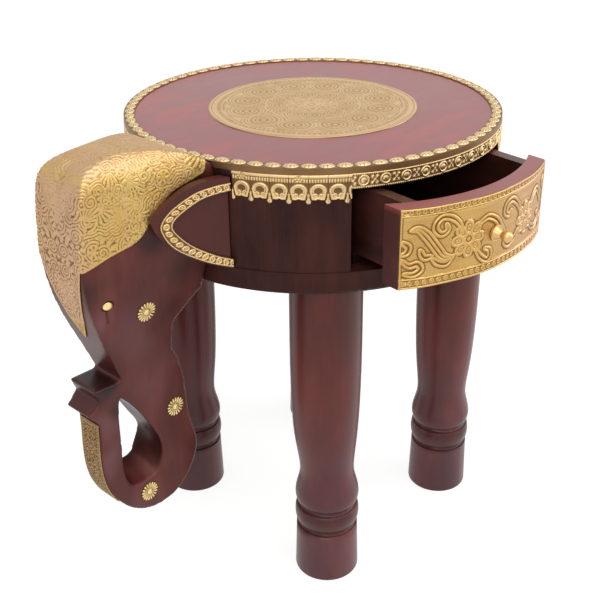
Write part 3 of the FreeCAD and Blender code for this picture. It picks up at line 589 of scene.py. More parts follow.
def medallionRelief(x, y):
    # Twelve shells round twelve small scales and a flower, drawn in mm from the middle
    x, y = handDrawn(x, y, *medallion["drift"])
    r, turn = np.hypot(x, y), np.arctan2(y, x)
    off = fromNearest(turn, medallion["shellCount"])
    dx, dy = r * np.cos(off) - medallion["shellRing"], r * np.sin(off)
    d, spin = np.hypot(dx, dy), np.arctan2(dy, dx)
    size = medallion["shellRadius"]
    shell = stronger(ridge(d - size, 0.75), ridge(d - size + 2.9, 0.8), ridge(d - size + 5.6, 0.8),
                     ridge(d - 9.6, 1.1) * (0.35 + 0.65 * np.cos(7 * spin) ** 2), ridge(d - 6.0, 0.8),
                     ridge(d, 2.2))
    fan = ridge(np.sin(turn * 60), 0.45) * ridge(r - medallion["fanRing"], 2.6)
    offIn = fromNearest(turn + math.pi / medallion["shellCount"], medallion["shellCount"])
    sx, sy = r * np.cos(offIn) - medallion["scaleRing"], r * np.sin(offIn)
    s = np.hypot(sx, sy)
    scale = stronger(ridge(s - 9.5, 0.75), ridge(s - 6.8, 0.7), ridge(s - 4.2, 0.7), ridge(s, 1.5))
    offP = fromNearest(turn, medallion["petalCount"])
    px, py = r * np.cos(offP) - medallion["petalRing"], r * np.sin(offP)
    drop = np.hypot(px / 8.0, py / (4.2 - 0.13 * px)) - 1
    petal = stronger(ridge(drop * 4.5, 0.9), ridge((drop + 0.5) * 5, 0.8))
    centre = stronger(ridge(r - 4.6, 0.7), ridge(r, 2.4))
    field = np.where(r > medallion["innerRing"], stronger(np.where(r < 86, shell, 0), fan), scale)
    field = np.where(r < medallion["flowerRing"] - 0.3, stronger(petal, centre), field)
    inner, outer = medallion["outerRings"]
    rings = stronger(ridge(r - inner, 0.7), ridge(r - outer, 0.8), ridge(r - medallion["innerRing"], 0.8),
                     ridge(r - medallion["flowerRing"], 0.7))
    return stronger(np.where(r < 91, field, 0), rings)


medallionMesh = flatGrid("medallionMesh", 130, 560)
grid = meshPoints(medallionMesh)
ringOf = (grid[:, 0] + 0.5) * medallion["radius"]
turnOf = (grid[:, 1] + 0.5) * 2 * math.pi
flatX, flatY = ringOf * np.cos(turnOf), ringOf * np.sin(turnOf)
raised = medallionRelief(flatX, flatY)
outward = pressedOut(grid, medallion, raised)
outward = np.where((grid[:, 2] < 0.5) & (ringOf < medallion["radius"] - 1), medallion["sheet"], outward)
setPoints(medallionMesh, placed(np.stack([flatX, flatY, outward], 1) * mm, drumFrame) + [0, 0, topZ])
# dirt and painted shade at the foot of the medallion's lines
storeHollow(medallionMesh, 1 - footDirtAndShade(raised))
editMesh(medallionMesh, closeSeams)
pieceFrom("medallionSheet", medallionMesh, paleSheet, ["top_medallion"])
print("medallion ready")


# Drawer's face: a flower between scrolls, on a punched ground

drawerFace = {
    "floor": 347.0,
    "height": 69.0,
    "halfWidth": 92.4,
    "bend": 177.8,         # mm, radius of its outer side
    "sheet": 0.5,
    "relief": 1.1,
    "punchDepth": 0.3,
    "innerField": (-25.0, 27.6),     # mm up from the middle; the borders lie outside
    "drift": (12.0, 0.22),
    "petals": 8,
    "flowers": [(-30.5, 0.7, 1.0), (44.0, -1.5, 0.9)],   # across, up, size
    "scrolls": [
        # points of a stroke's middle, and how many lines it has
        ([(-37, 10), (-41.5, 17), (-48, 22), (-56, 24), (-61, 20.5), (-62, 15), (-58, 10),
          (-54, 10), (-51, 13), (-52.6, 17.4)], 2),
        ([(-84, 16.5), (-77, 17), (-70, 11), (-64, 3), (-59, -4), (-54, -10), (-47, -12), (-44, -10.5)], 3),
        ([(-75, -1.5), (-71.5, -8), (-65, -8)], 2),
        ([(-64, -10.5), (-59, -15), (-52, -17), (-47, -13.6)], 2),
        ([(-20, 11), (-15, 14), (-9, 15), (0, 10), (6, 3), (12, -5)], 2),
        ([(-22, -11), (-17, -18), (-10, -23), (-6, -20), (-7, -14.6), (-12.6, -12)], 2),
        ([(34, 9), (28, 17), (20, 22), (13, 20), (11, 14), (15, 10), (19, 13)], 2),
        ([(54, 9), (60, 15), (68, 17), (76, 11), (82, 2)], 2),
        ([(32, -9), (26, -15), (18, -18), (13, -14), (16, -10)], 2),
        ([(54, -9), (60, -15), (68, -18), (76, -15), (78, -9), (73, -7)], 2),
        ([(-90, -9), (-84, -14), (-77, -13), (-74, -18), (-80, -22), (-88, -21)], 2),
        ([(-90, 7), (-85, 3), (-86, -2), (-90, -4)], 2),
        ([(88, 12), (83, 18), (86, 23)], 1),
        ([(88, -12), (84, -18), (87, -23)], 1),
    ],
}


def flowerRelief(x, y):
    r, turn = np.hypot(x, y), np.arctan2(y, x)
    off = fromNearest(turn, drawerFace["petals"])
    px, py = r * np.cos(off) - 10.2, r * np.sin(off)
    oval = np.hypot(px / 5.2, py / (3.6 + 0.12 * px)) - 1
    outline = ridge(oval * 3.6, 1.0)
    inside = 0.8 * ridge((oval + 0.66) * 4.5, 1.0)
    return np.where(r < 17, stronger(outline, inside, ridge(r - 3.9, 0.8), ridge(r, 1.7)), 0)


def drawerRelief(u, v):
    # Flowers and scrolls of double lines between two beaded borders, in mm from the middle
    total = np.zeros(u.shape)
    for cx, cy, size in drawerFace["flowers"]:
        total = stronger(total, flowerRelief((u - cx) / size, (v - cy) / size))
    for points, lines in drawerFace["scrolls"]:
        distance, along, length = lineDistance(u, v, smoothLine(points))
        taper = np.clip(np.minimum(along, length - along) / (0.3 * length), 0, 1) ** 0.5
        gap = (0.9 + 1.1 * taper) if lines > 1 else 0.0 * taper
        stroke = ridge(distance - gap, 1.05)
        if lines == 3:
            stroke = stronger(ridge(distance, 1.0), ridge(distance - 3.5 * taper, 1.05))
        total = stronger(total, stroke)
    loops = np.hypot((u + 400) % 5.6 - 2.8, v - 31.6)
    beads = np.hypot((u + 400) % 6.4 - 3.2, v + 29.6)
    border = stronger(ridge(loops - 1.5, 0.5), ridge(v - 28.6, 0.6), ridge(v - 33.8, 0.6),
                      ridge(beads - 1.8, 0.55), ridge(beads, 0.8), ridge(v + 26.0, 0.7), ridge(v + 33.4, 0.7))
    ends = ridge(np.abs(u) - drawerFace["halfWidth"] + 0.8, 0.8)
    low, high = drawerFace["innerField"]
    inner = (v > low) & (v < high)
    return stronger(np.where(inner, total, border), ends)


faceMesh = flatGrid("drawerFaceMesh", 400, 150)
grid = meshPoints(faceMesh)
u = grid[:, 0] * 2 * drawerFace["halfWidth"]
v = grid[:, 1] * drawerFace["height"]
raised = drawerRelief(*handDrawn(u, v, *drawerFace["drift"]))
punched = np.sin(3.9 * u + 2.0 * np.sin(1.7 * v)) * np.sin(4.3 * v + 2.0 * np.sin(1.9 * u))
punched = np.where((raised < 0.05) & (np.abs(v) < 26), 0.5 - 0.5 * punched, 0)
outward = pressedOut(grid, drawerFace, raised)
outward = np.where(grid[:, 2] > 0.5, outward - drawerFace["punchDepth"] * punched, 0)
radius, angle = drumSize + outward, u / drawerFace["bend"]
middle = drawerFace["floor"] + drawerFace["height"] / 2
bent = np.stack([radius * np.cos(angle), radius * np.sin(angle), middle + v], 1)
setPoints(faceMesh, placed(bent * mm, drawerFrame))
# dirt and painted shade at the foot of the drawer face's lines
storeHollow(faceMesh, 1 - stronger(footDirtAndShade(raised), 0.8 * punched))
# painted shade: a duller tan rising across the face from 20 mm before its middle to 50 mm after it
storeValues(faceMesh, "shade", 0.8 * fadeIn(u, -20, 70))
pieceFrom("drawerFaceSheet", faceMesh, drawerSheet, ["drawer_face"], body="drawer")
print("drawer face ready")


# Brass round the edge

fringe = {
    "top": 431.5,
    "height": 25.2,
    "drawnHeight": 29.4,   # the pattern is drawn taller, then pressed together
    "unitWidth": 15.95,
    "unitDegrees": 5.14,
    "farRun": (23.4, 249.3),
    "nearRun": (290.7, 322.6),
    "onWood": 177.05,      # radius of the sheet's folded edge
    "sheet": 0.35,
    "relief": 1.1,
    # the drawn unit, in mm down from the strip's top
    "stripDepth": 15.5,
    "archMiddle": 16.6,
    "archRadius": 7.35,
    "archFoot": 25.4,
    "dropMiddle": 26.7,
    "dropRadius": 2.4,
    "bars": 7,
}


def wrapRound(points, radius):
    # Bends a flat sheet (across, height, out) round the drum
    angle = points[:, 0] / radius
    out = radius + points[:, 2]
    return np.stack([out * np.cos(angle), out * np.sin(angle), points[:, 1]], 1)


def fringeParts(u, v):
    # Distances outside the strip, the horseshoe and the drops, in mm as drawn, v = 0 at the strip's top
    across, below = np.abs(u), -v - fringe["archMiddle"]
    bow = fringe["archRadius"] - 0.2 * np.clip(below, 0, 9)
    arch = np.where(below < 0, np.hypot(u, below * 0.97) - fringe["archRadius"], across - bow)
    arch = np.maximum(arch, -fringe["archFoot"] - v + 0.9 * ridge(across, 0.9))
    side = fringe["unitWidth"] / 2 - across
    stem = np.maximum(side - np.clip(0.6 + (-17.0 - v) * 0.13, 0.6, 2.0), -26.5 - v)
    drop = np.minimum(np.hypot(side, (v + fringe["dropMiddle"]) * 0.92) - fringe["dropRadius"], stem)
    return -fringe["stripDepth"] - v, arch, drop


def fringeOutline(u, v):
    return np.minimum.reduce(fringeParts(u, v))


def fringeRelief(u, v, rosette=False):
    _, arch, drop = fringeParts(u, v)
    across = np.abs(u)
    line = bulge(v + 1.9, 1.75, 1.2)
    barPitch = fringe["unitWidth"] / fringe["bars"]
    bars = ridge((u + fringe["unitWidth"] / 2) % barPitch - barPitch / 2, 0.75) * bulge(v + 6.1, 1.9, 1.3)
    ribbon = stronger(bulge(arch + 1.35, 1.15, 1.25), 0.8 * ridge(arch + 3.2, 0.5))
    ribbon = np.where((v < -18.6) & (arch < -2.2), 0, ribbon)
    curl = np.hypot(across - 2.65, v + 21.0)
    curls = np.where(v < -17.4, stronger(ridge(curl - 1.75, 0.55), ridge(curl, 0.75)), 0)
    foot = ridge(np.hypot(across - 3.4, v + 24.0), 1.1)
    pear = bulge(drop + fringe["dropRadius"], fringe["dropRadius"], 1.1) ** 0.5
    hanging = np.where(drop < 0, pear * fadeIn(-v, 17, 4), 0)
    body = np.where(arch < 0, stronger(ribbon, curls, foot), hanging)
    field = np.where(v > -3.9, line, np.where(v > -8.2, bars, body))
    if rosette:
        d, spin = np.hypot(u, v + 4.6), np.arctan2(v + 4.6, u)
        flower = stronger(ridge(d - 2.5, 0.9) * (0.3 + 0.7 * np.cos(3 * spin) ** 2), ridge(d, 1.1))
        field = np.where(d < 3.6, flower, field)
    return field


def fringeOutside(points):
    return fringeOutline(points[:, 0], points[:, 1])


def cutToOutline(bm):
    # Removes what lies outside the fringe's outline and draws the edge onto it
    dropFaces(bm, lambda middles, _: fringeOutside(middles) > 0)
    edge = [vert for vert in bm.verts if vert.is_boundary]
    for _ in range(3):
        at = np.array([vert.co[:2] for vert in edge])
        slope = np.stack([(fringeOutside(at + d) - fringeOutside(at - d)) / 0.1 for d in np.eye(2) * 0.05], 1)
        size = np.maximum((slope ** 2).sum(1), 0.3)
        move = np.clip(slope * (fringeOutside(at) / size)[:, None], -0.5, 0.5)
        inside = np.abs(at[:, 0]) < fringe["unitWidth"] / 2 - 0.1
        for vert, (mx, my), free in zip(edge, move, inside):
            if free and vert.co.y < -0.1:
                vert.co.x -= mx
                vert.co.y -= my


def foldOntoWood(bm):
    for vert in foldedEdge(bm):
        vert.co.xy = vert.co.xy.normalized() * fringe["onWood"] * mm
    bmesh.ops.recalc_face_normals(bm, faces=bm.faces)


def fringeUnit(rosette):
    bm = bmesh.new()
    bmesh.ops.create_grid(bm, x_segments=28, y_segments=52, size=0.5)
    mesh = meshFrom("fringeUnit", bm)
    setPoints(mesh, (meshPoints(mesh) - [0, 0.5, 0]) * [fringe["unitWidth"], fringe["drawnHeight"], 0])
    editMesh(mesh, cutToOutline)
    flat = meshPoints(mesh)
    raised = fringeRelief(flat[:, 0], flat[:, 1], rosette)
    storeHollow(mesh, raised)
    flat[:, 2] = fringe["sheet"] + fringe["relief"] * raised
    flat[:, 1] = fringe["top"] + flat[:, 1] * fringe["height"] / fringe["drawnHeight"]
    setPoints(mesh, wrapRound(flat, drumSize) * mm)
    editMesh(mesh, foldOntoWood)
    return mesh


def repeatRound(units, turns):
    # Sets the given unit meshes one after another round the drum's axis
    bm = bmesh.new()
    for index, turn in enumerate(turns):
        addCopy(bm, units[index % len(units)], Matrix.Rotation(math.radians(turn), 4, "Z"))
    return bm


def trimRun(bm, startTurn, endTurn):
    # Cuts the last unit off where the strip ends
    for turn, side in ((startTurn, -1), (endTurn, 1)):
        angle = math.radians(turn)
        ahead = Vector((-math.sin(angle), math.cos(angle), 0)) * side
        here = Vector((math.cos(angle), math.sin(angle), 0))
        near = [f for f in bm.faces if f.calc_center_median().xy.normalized().dot(here.xy) > 0.97]
        geometry = near + list({e for f in near for e in f.edges})
        geometry += list({v for f in near for v in f.verts})
        bmesh.ops.bisect_plane(bm, geom=geometry, plane_co=(0, 0, 0), plane_no=ahead, clear_outer=True)


units = [fringeUnit(True), fringeUnit(False), fringeUnit(False)]
fringeBm = bmesh.new()
for startTurn, endTurn in (fringe["farRun"], fringe["nearRun"]):
    count = math.ceil((endTurn - startTurn) / fringe["unitDegrees"])
    run = repeatRound(units, [startTurn + (i + 0.5) * fringe["unitDegrees"] for i in range(count)])
    trimRun(run, startTurn, endTurn)
    fringeBm.from_mesh(meshFrom("fringeRun", run))
bmesh.ops.transform(fringeBm, matrix=drumFrame, verts=fringeBm.verts)
pieceFrom("hangingFringe", meshFrom("hangingFringe", fringeBm), fringeBrass, ["edge_fringe"])


# Embossed band over the drawer's opening

band = {
    "floor": 418.3,
    "height": 13.2,
    "start": -37.4,          # degrees round the drum
    "end": 23.4,
    "unitDegrees": 6.04,
    "bossRadius": 4.0,
    "beadPitch": 1.9,
    "sheet": 0.35,
    "relief": 1.1,
}


def bandRelief(u, v, pitch):
    # Bossed circles between crossed leaves, v = 0 on the band's middle line
    du = (u + 400 * pitch) % pitch - pitch / 2
    d = np.hypot(du, v)
    boss = stronger(bulge(d - band["bossRadius"], 0.85, 1.3), bulge(d, 2.6, 1.2) ** 0.5)
    side = pitch / 2 - np.abs(du)
    leaf = stronger(ridge(np.hypot(side - 2.0, (np.abs(v) - 2.7) * 0.8), 1.15),
                    ridge(np.hypot(side, v), 0.8),
                    ridge((np.abs(v) - side * 1.1) / 1.4, 0.4) * (side < 2.6))
    beads = ridge(np.hypot((u + 400) % band["beadPitch"] - band["beadPitch"] / 2, np.abs(v) - 5.5), 0.75)
    lines = stronger(ridge(v - 6.2, 0.5), beads)
    return np.where(np.abs(v) > 4.8, lines, np.where(d < band["bossRadius"] + 0.9, boss, leaf))


bandWidth = math.radians(band["end"] - band["start"]) * drumSize
bandMesh = flatGrid("edgeBandMesh", 380, 27)
grid = meshPoints(bandMesh)
u, v = grid[:, 0] * bandWidth, grid[:, 1] * band["height"]
raised = bandRelief(u, v, math.radians(band["unitDegrees"]) * drumSize)
flat = np.stack([u, v + band["floor"] + band["height"] / 2, pressedOut(grid, band, raised)], 1)
middleTurn = Matrix.Rotation(math.radians((band["start"] + band["end"]) / 2), 4, "Z")
setPoints(bandMesh, placed(wrapRound(flat, drumSize) * mm, drumFrame @ middleTurn))
storeHollow(bandMesh, raised)
pieceFrom("openingBand", bandMesh, fringeBrass, ["edge_band"])


# Oval rosettes on the rim

def roundPlate(name, rings, spokes, shapeAt, under):
    # A plate from a grid of rings and spokes, whose folded edge reaches down to the height under
    mesh = flatGrid(name, rings, spokes)
    grid = meshPoints(mesh)
    share, spin = grid[:, 0] + 0.5, (grid[:, 1] + 0.5) * 2 * math.pi
    x, y, out, raised = shapeAt(share, spin)
    out = np.where((grid[:, 2] < 0.5) & (share > 0.99), under, out)
    setPoints(mesh, np.stack([x, y, out], 1) * mm)
    storeHollow(mesh, raised)
    return mesh


rosettes = {
    "count": 74,
    "length": 13.2,
    "width": 9.0,
    "height": 1.8,
    "ring": 172.3,           # mm, radius of the circle they stand on
    "floor": 436.8,
}


def rimRosette(share, spin):
    dots = stronger(ridge(share - 0.42, 0.16) * np.cos(2.5 * spin) ** 4,
                    ridge(share - 0.82, 0.14) * np.cos(5 * spin) ** 4)
    raised = 1 - np.clip(1.6 * dots, 0, 1)
    dome = bulge(share, 1, 1.05) ** 0.5 * rosettes["height"] * (0.7 + 0.3 * raised)
    x = rosettes["ring"] + share * np.cos(spin) * rosettes["width"] / 2
    return x, share * np.sin(spin) * rosettes["length"] / 2, rosettes["floor"] + dome, raised


rosetteUnit = roundPlate("rosetteUnit", 9, 40, rimRosette, rosettes["floor"])
bm = repeatRound([rosetteUnit], [i * 360 / rosettes["count"] for i in range(rosettes["count"])])
closeSeams(bm)
bmesh.ops.transform(bm, matrix=drumFrame, verts=bm.verts)
pieceFrom("rimRosettes", meshFrom("rimRosettes", bm), paleRosette, ["rim_rosettes"])
print("edge brass ready")


# Carved head: the block's edges are rounded over, as by rasp and sandpaper

head = {
    "reach": 120.0,          # mm, from the drum's wall to the forehead
    "height": 328.0,
    "clearance": 110.0,      # mm, from the floor to the trunk
    "halfWidth": 50.0,
    "voxel": 1.5,
    # outlines as shares of the reach and of the height
    "crown": [(-0.1, 0.985), (0.0, 1.0), (0.1, 1.021), (0.187, 1.033), (0.36, 1.046), (0.55, 1.052),
              (0.7, 1.049), (0.79, 1.043), (0.86, 1.033), (0.912, 1.015), (0.946, 0.985), (0.968, 0.945),
              (0.983, 0.888), (0.992, 0.802), (0.967, 0.716), (0.917, 0.643), (0.854, 0.579), (0.775, 0.506)],
    "coverSide": [(1.2, 0.8), (0.98, 0.805), (0.78, 0.826), (0.57, 0.846), (0.45, 0.893), (0.3, 0.943),
                  (0.1, 0.966), (0.01, 1.0), (0.01, 1.2), (1.2, 1.2)],
    "coverPoint": [(0.0, 0.579), (0.2, 0.64), (0.36, 0.713), (0.52, 0.8), (0.52, 0.85), (-0.52, 0.85),
                   (-0.52, 0.8), (-0.36, 0.713), (-0.2, 0.64)],
    "coverPointDepth": 0.8,
    "stripSide": [(0.84, 0.338), (1.1, 0.338), (1.1, 0.01), (1.03, 0.024), (0.75, 0.083), (0.8, 0.15)],
    "stripHalfWidth": 12.5,
    "grooveDepth": 1.6,
    "grooveHalfWidth": 6.0,
    "grooveStart": (0.72, 0.87),     # out and up shares from which the brow's groove shows
    "stains": [
        # out and up shares, radius in mm, tone: below zero for painted shade, above zero for painted sheen
        (0.95, 0.765, 11, -0.5), (0.88, 0.74, 12, -0.3), (0.93, 0.53, 12, -1.2), (0.83, 0.46, 11, -1.1),
        (1.02, 0.49, 17, -1.0), (0.76, 0.36, 9, -0.9), (0.6, 0.19, 15, -1.0), (0.5, 0.84, 13, -0.8),
        (0.33, 0.6, 15, -0.7), (0.2, 0.72, 16, -0.6), (0.93, 0.66, 12, 0.9), (0.55, 0.56, 24, 0.7),
        (0.45, 0.4, 22, 0.6), (0.9, 0.34, 16, 1.0), (0.88, 0.22, 16, 1.0), (0.7, 0.62, 15, 0.4),
        (0.6, 0.03, 20, 0.5), (0.06, 0.93, 16, -1.2), (0.2, 0.9, 14, -1.0),
    ],
    "curlGrime": 0.75,
    "dullHeight": 441.0,     # mm, painted shade on the cover above this
    "dullHalfWidth": 32.0,   # mm, and this far each side of the brow's middle
    "browFront": 106.0,      # mm, from the drum's wall
    "tearLine": [(0.83, 0.675), (0.822, 0.645)],
    "sheet": 0.5,
    "relief": 0.7,
    "linePitch": 2.9,
    "motif": 16.0,
    "drift": (14.0, 0.8),
    "motifSeed": 11,
    "wornHeight": 440.0,     # mm, hands have rubbed the cover smooth above this
}


def sidePlace(pairs):
    # Outline shares to (y, z) in mm from the drum's axis
    p = np.array(pairs, float)
    return np.stack([-drumSize - p[:, 0] * head["reach"], head["clearance"] + p[:, 1] * head["height"]], 1)


def shareUp(z):
    return (z - head["clearance"]) / head["height"]


def insideDistance(x, y, polygon):
    # Signed distance to a polygon: below zero inside
    best = np.full(x.shape, 1e3)
    odd = np.zeros(x.shape, bool)
    for (ax, ay), (bx, by) in zip(polygon, np.roll(polygon, -1, axis=0)):
        dx, dy = bx - ax, by - ay
        t = np.clip(((x - ax) * dx + (y - ay) * dy) / (dx * dx + dy * dy), 0, 1)
        best = np.minimum(best, np.hypot(x - ax - t * dx, y - ay - t * dy))
        crosses = (ay > y) != (by > y)
        odd ^= crosses & (x < ax + (y - ay) * dx / (dy if dy else 1e-9))
    return np.where(odd, -best, best)


def carveBrow(mesh):
    # Two lobes high on the brow, with a short shallow groove between them
    x, y, z = fromAxis(meshPoints(mesh)).T
    startOut, startUp = head["grooveStart"]
    shown = fadeIn((-drumSize - y) / head["reach"], startOut, 0.1) * fadeIn(shareUp(z), startUp, 0.08)
    depth = head["grooveDepth"] * ridge(x, head["grooveHalfWidth"]) * shown
    setPoints(mesh, meshPoints(mesh) - meshNormals(mesh) * depth[:, None] * mm)


def roundedHead():
    mesh = nodes["head_block"].data.copy()
    editMesh(mesh, lambda bm: bmesh.ops.remove_doubles(bm, verts=bm.verts, dist=0.01 * mm))
    helper = addObject("headHelper", mesh)
    remesh = helper.modifiers.new("remesh", "REMESH")
    remesh.mode = "VOXEL"
    remesh.voxel_size = head["voxel"] * mm
    soften = helper.modifiers.new("soften", "SMOOTH")
    soften.factor = 0.5
    soften.iterations = 7
    depsgraph = bpy.context.evaluated_depsgraph_get()
    made = bpy.data.meshes.new_from_object(helper.evaluated_get(depsgraph))
    bpy.data.objects.remove(helper)
    carveBrow(made)
    return made


def paintHeadToneAndShade(mesh):
    # Painted shade and painted sheen over a slightly uneven tone: shade in the mouth, at the edges, in the
    # trunk's curl and along the tear line, sheen on the sides
    x, y, z = fromAxis(meshPoints(mesh)).T
    sideways = np.abs(meshNormals(mesh)[:, 0])
    wanderY, wanderZ = handDrawn(y, z, 9.0, 3.0)
    tone = 0.12 * np.sin(y / 7 + np.sin(z / 12)) * np.sin(z / 21 + x / 15)
    for out, up, radius, strength in head["stains"]:
        atY, atZ = sidePlace([(out, up)])[0]
        tone = tone + strength * ridge(np.hypot(wanderY - atY, wanderZ - atZ), radius)
    # painted shade on the faces inside the trunk's curl
    inCurl = fadeIn(-sideways, -0.6, 0.3) * fadeIn(-shareUp(z), -0.42, 0.05)
    # painted shade: a dark line along the carved tear line, standing for its groove
    tear = lineDistance(y, z, sidePlace(head["tearLine"]))[0]
    tone = tone - head["curlGrime"] * inCurl - 1.5 * ridge(tear, 1.3) * (np.abs(x) > 20)
    storeValues(mesh, "stain", np.clip(tone, -1, 1))


headMesh = roundedHead()
paintHeadToneAndShade(headMesh)
pieceFrom("carvedHead", headMesh, mahoganyHead, ["head_block"])
print("head ready", len(headMesh.polygons))

headTree = BVHTree.FromPolygons([v.co for v in headMesh.vertices], [p.vertices for p in headMesh.polygons])
crownLine = smoothLine(sidePlace(head["crown"]), 12)
coverLine = smoothLine(sidePlace(head["coverSide"]), 4)


def coverOutline(p):
    # Distance outside the cover: its two sides and its crown, joined to the point on the brow
    side = insideDistance(p[:, 1], p[:, 2], coverLine)
    front = np.array(head["coverPoint"], float)
    shape = np.stack([front[:, 0] * head["halfWidth"], head["clearance"] + front[:, 1] * head["height"]], 1)
    behind = p[:, 1] + drumSize + head["coverPointDepth"] * head["reach"]
    return np.minimum(side, np.maximum(insideDistance(p[:, 0], p[:, 2], shape), behind))


def coverShade(at):
    # Painted shade: a duller tan on the crown and on the front of the brow, the cover left bright on the
    # shoulder and sides
    crown = 0.75 * fadeIn(at[:, 2], head["dullHeight"], 8)
    middle = fadeIn(-np.abs(at[:, 0]), -head["dullHalfWidth"], 8)
    return stronger(crown, middle * fadeIn(-drumSize - at[:, 1], head["browFront"], 6))


def stripOutline(p):
    side = insideDistance(p[:, 1], p[:, 2], sidePlace(head["stripSide"]))
    return np.maximum(side, np.abs(p[:, 0]) - head["stripHalfWidth"])


def sheetOnHead(name, outline, reliefAt, material, replaced, clearOf, shadeAt=None):
    # Takes the head's own skin inside an outline, draws its edge onto the outline and presses it out
    bm = bmesh.new()
    bm.from_mesh(headMesh)
    dropFaces(bm, lambda middles, _: outline(fromAxis(middles)) > 2.5)
    bmesh.ops.subdivide_edges(bm, edges=bm.edges, cuts=1, use_grid_fill=True)
    dropFaces(bm, lambda middles, normals: (outline(fromAxis(middles)) > 0)
              | clearOf(fromAxis(middles), normals))
    rim = [v for v in bm.verts if v.is_boundary]
    for _ in range(2):
        at = fromAxis([v.co for v in rim])
        value = outline(at)
        slope = np.stack([(outline(at + d) - outline(at - d)) / 0.2 for d in np.eye(3) * 0.1], 1)
        move = np.clip(value[:, None] * slope, -0.9, 0.9) * (np.abs(value) < 1.6)[:, None]
        for v, step in zip(rim, move):
            v.co = headTree.find_nearest(v.co - Vector(step) * mm)[0]
    bm.normal_update()
    at = fromAxis([v.co for v in bm.verts])
    normal = np.array([v.normal for v in bm.verts])
    raised = reliefAt(at)
    lift = (head["sheet"] + head["relief"] * raised)[:, None] * normal
    for v, step in zip(list(bm.verts), lift):
        v.co += Vector(step) * mm
    inward = {v: -v.normal * (head["sheet"] + 0.3) * mm for v in bm.verts if v.is_boundary}
    for end in foldedEdge(bm):
        source = min((edge.other_vert(end) for edge in end.link_edges if edge.other_vert(end) in inward),
                     key=lambda other: (other.co - end.co).length)
        end.co += inward[source]
    bm.verts.index_update()
    mesh = meshFrom(name, bm)
    folds = np.zeros(len(mesh.vertices) - len(raised))
    storeHollow(mesh, np.concatenate([raised, folds]))
    if shadeAt:
        storeValues(mesh, "shade", np.concatenate([shadeAt(at), folds]))
    print(name, len(mesh.polygons))
    pieceFrom(name, mesh, material, replaced)


def spread(at):
    # The sheet laid flat: length along the crown, and way down from its middle line
    away, along, _ = lineDistance(at[:, 1], at[:, 2], crownLine, 200.0)
    return along, np.abs(at[:, 0]) + away


def chasedField(s, a, cell, seed):
    # Spirals, fans, flowers and waves side by side, one motif to a cell
    s, a = handDrawn(s, a, *head["drift"])
    random = np.random.RandomState(seed)
    cols, rows = int(360 / cell) + 3, int(160 / cell) + 3
    jitter = random.uniform(-0.32, 0.32, (cols, rows, 2))
    kind = random.randint(0, 5, (cols, rows))
    facing = random.uniform(0, 2 * math.pi, (cols, rows))
    ci, cj = np.floor(s / cell).astype(int) + 1, np.floor(a / cell).astype(int) + 1
    best, second = np.full(s.shape, 1e3), np.full(s.shape, 1e3)
    bx, by = np.zeros(s.shape), np.zeros(s.shape)
    bi, bj = np.zeros(s.shape, int), np.zeros(s.shape, int)
    for di in (-1, 0, 1):
        for dj in (-1, 0, 1):
            i, j = np.clip(ci + di, 0, cols - 1), np.clip(cj + dj, 0, rows - 1)
            x = s - (i - 0.5 + jitter[i, j, 0]) * cell
            y = a - (j - 0.5 + jitter[i, j, 1]) * cell
            d = np.hypot(x, y)
            closer = d < best
            second = np.where(closer, best, np.minimum(second, d))
            bx, by = np.where(closer, x, bx), np.where(closer, y, by)
            bi, bj = np.where(closer, i, bi), np.where(closer, j, bj)
            best = np.where(closer, d, best)
    turn = facing[bi, bj]
    x, y = bx * np.cos(turn) + by * np.sin(turn), by * np.cos(turn) - bx * np.sin(turn)
    d, spin = best, np.arctan2(y, x)
    wave = 2 * math.pi / head["linePitch"]
    spiral = np.where(d < 7.5, np.cos(d * wave + spin), np.cos(spin * 9))
    fan = np.cos((np.hypot(x + 8, y) + 0.8 * np.sin(spin * 3)) * wave)
    flower = np.where(d < 5.5, np.cos(6 * spin) * np.clip(d / 3, 0, 1), np.cos(d * wave))
    waves = np.cos((x + 1.3 * np.sin(y / 2.2)) * wave)
    rays = np.hypot(x + 10, y)
    spray = np.cos(np.arctan2(y, x + 10) * 20 + 0.12 * rays) * fadeIn(rays, 4, 3)
    field = np.choose(kind[bi, bj], [spiral, fan, flower, waves, spray])
    cut = np.clip(0.5 - 0.5 * field, 0, 1) ** 1.7          # sunk lines on a flat ground
    calm = np.sin(s / 19 + 1.0) + np.sin(a / 13 + 2.0) + np.sin((s + a) / 11)
    cut = cut * np.clip(1.15 - 0.3 * calm, 0.4, 1)
    return 1 - stronger(cut, 0.6 * ridge(second - best, 0.6))


def coverRelief(at):
    s, a = spread(at)
    toEdge = -coverOutline(at)
    beads = np.hypot((s % 5.2) - 2.6, toEdge - 3.2)
    rosettes = stronger(ridge(beads - 1.9, 0.8), ridge(beads, 0.9), ridge(toEdge - 0.4, 0.7))
    nearEar = (toEdge < 6) & (at[:, 1] > -250) & (at[:, 2] < 425)
    worn = 0.35 * fadeIn(at[:, 2], head["wornHeight"], 9)
    field = worn + (1 - worn) * chasedField(s, a, head["motif"], head["motifSeed"])
    return np.where(nearEar, rosettes, np.where(toEdge < 1.6, 1, field))


def stripRelief(at):
    # A fine granular ground inside a beaded border
    toEdge = -stripOutline(at)
    beads = ridge(np.hypot(at[:, 2] % 3.0 - 1.5, toEdge - 2.8), 1.1)
    x, z = handDrawn(at[:, 0], at[:, 2], 6.0, 0.9)
    grains = np.sin(x * 1.9 + 1.3 * np.sin(z * 0.8)) * np.sin(z * 1.8 + 1.6 * np.sin(x * 0.9))
    border = stronger(beads, ridge(toEdge - 0.4, 0.7))
    return np.where(toEdge < 4.4, border, np.clip(0.4 + 1.3 * grains, 0, 1))


def clearOfDrum(centres, normals):
    # Leaves out the head's own back, where it is hollowed round the drum
    return (np.hypot(centres[:, 0], centres[:, 1]) < drumSize + 2.3) | (normals[:, 2] < -0.75)


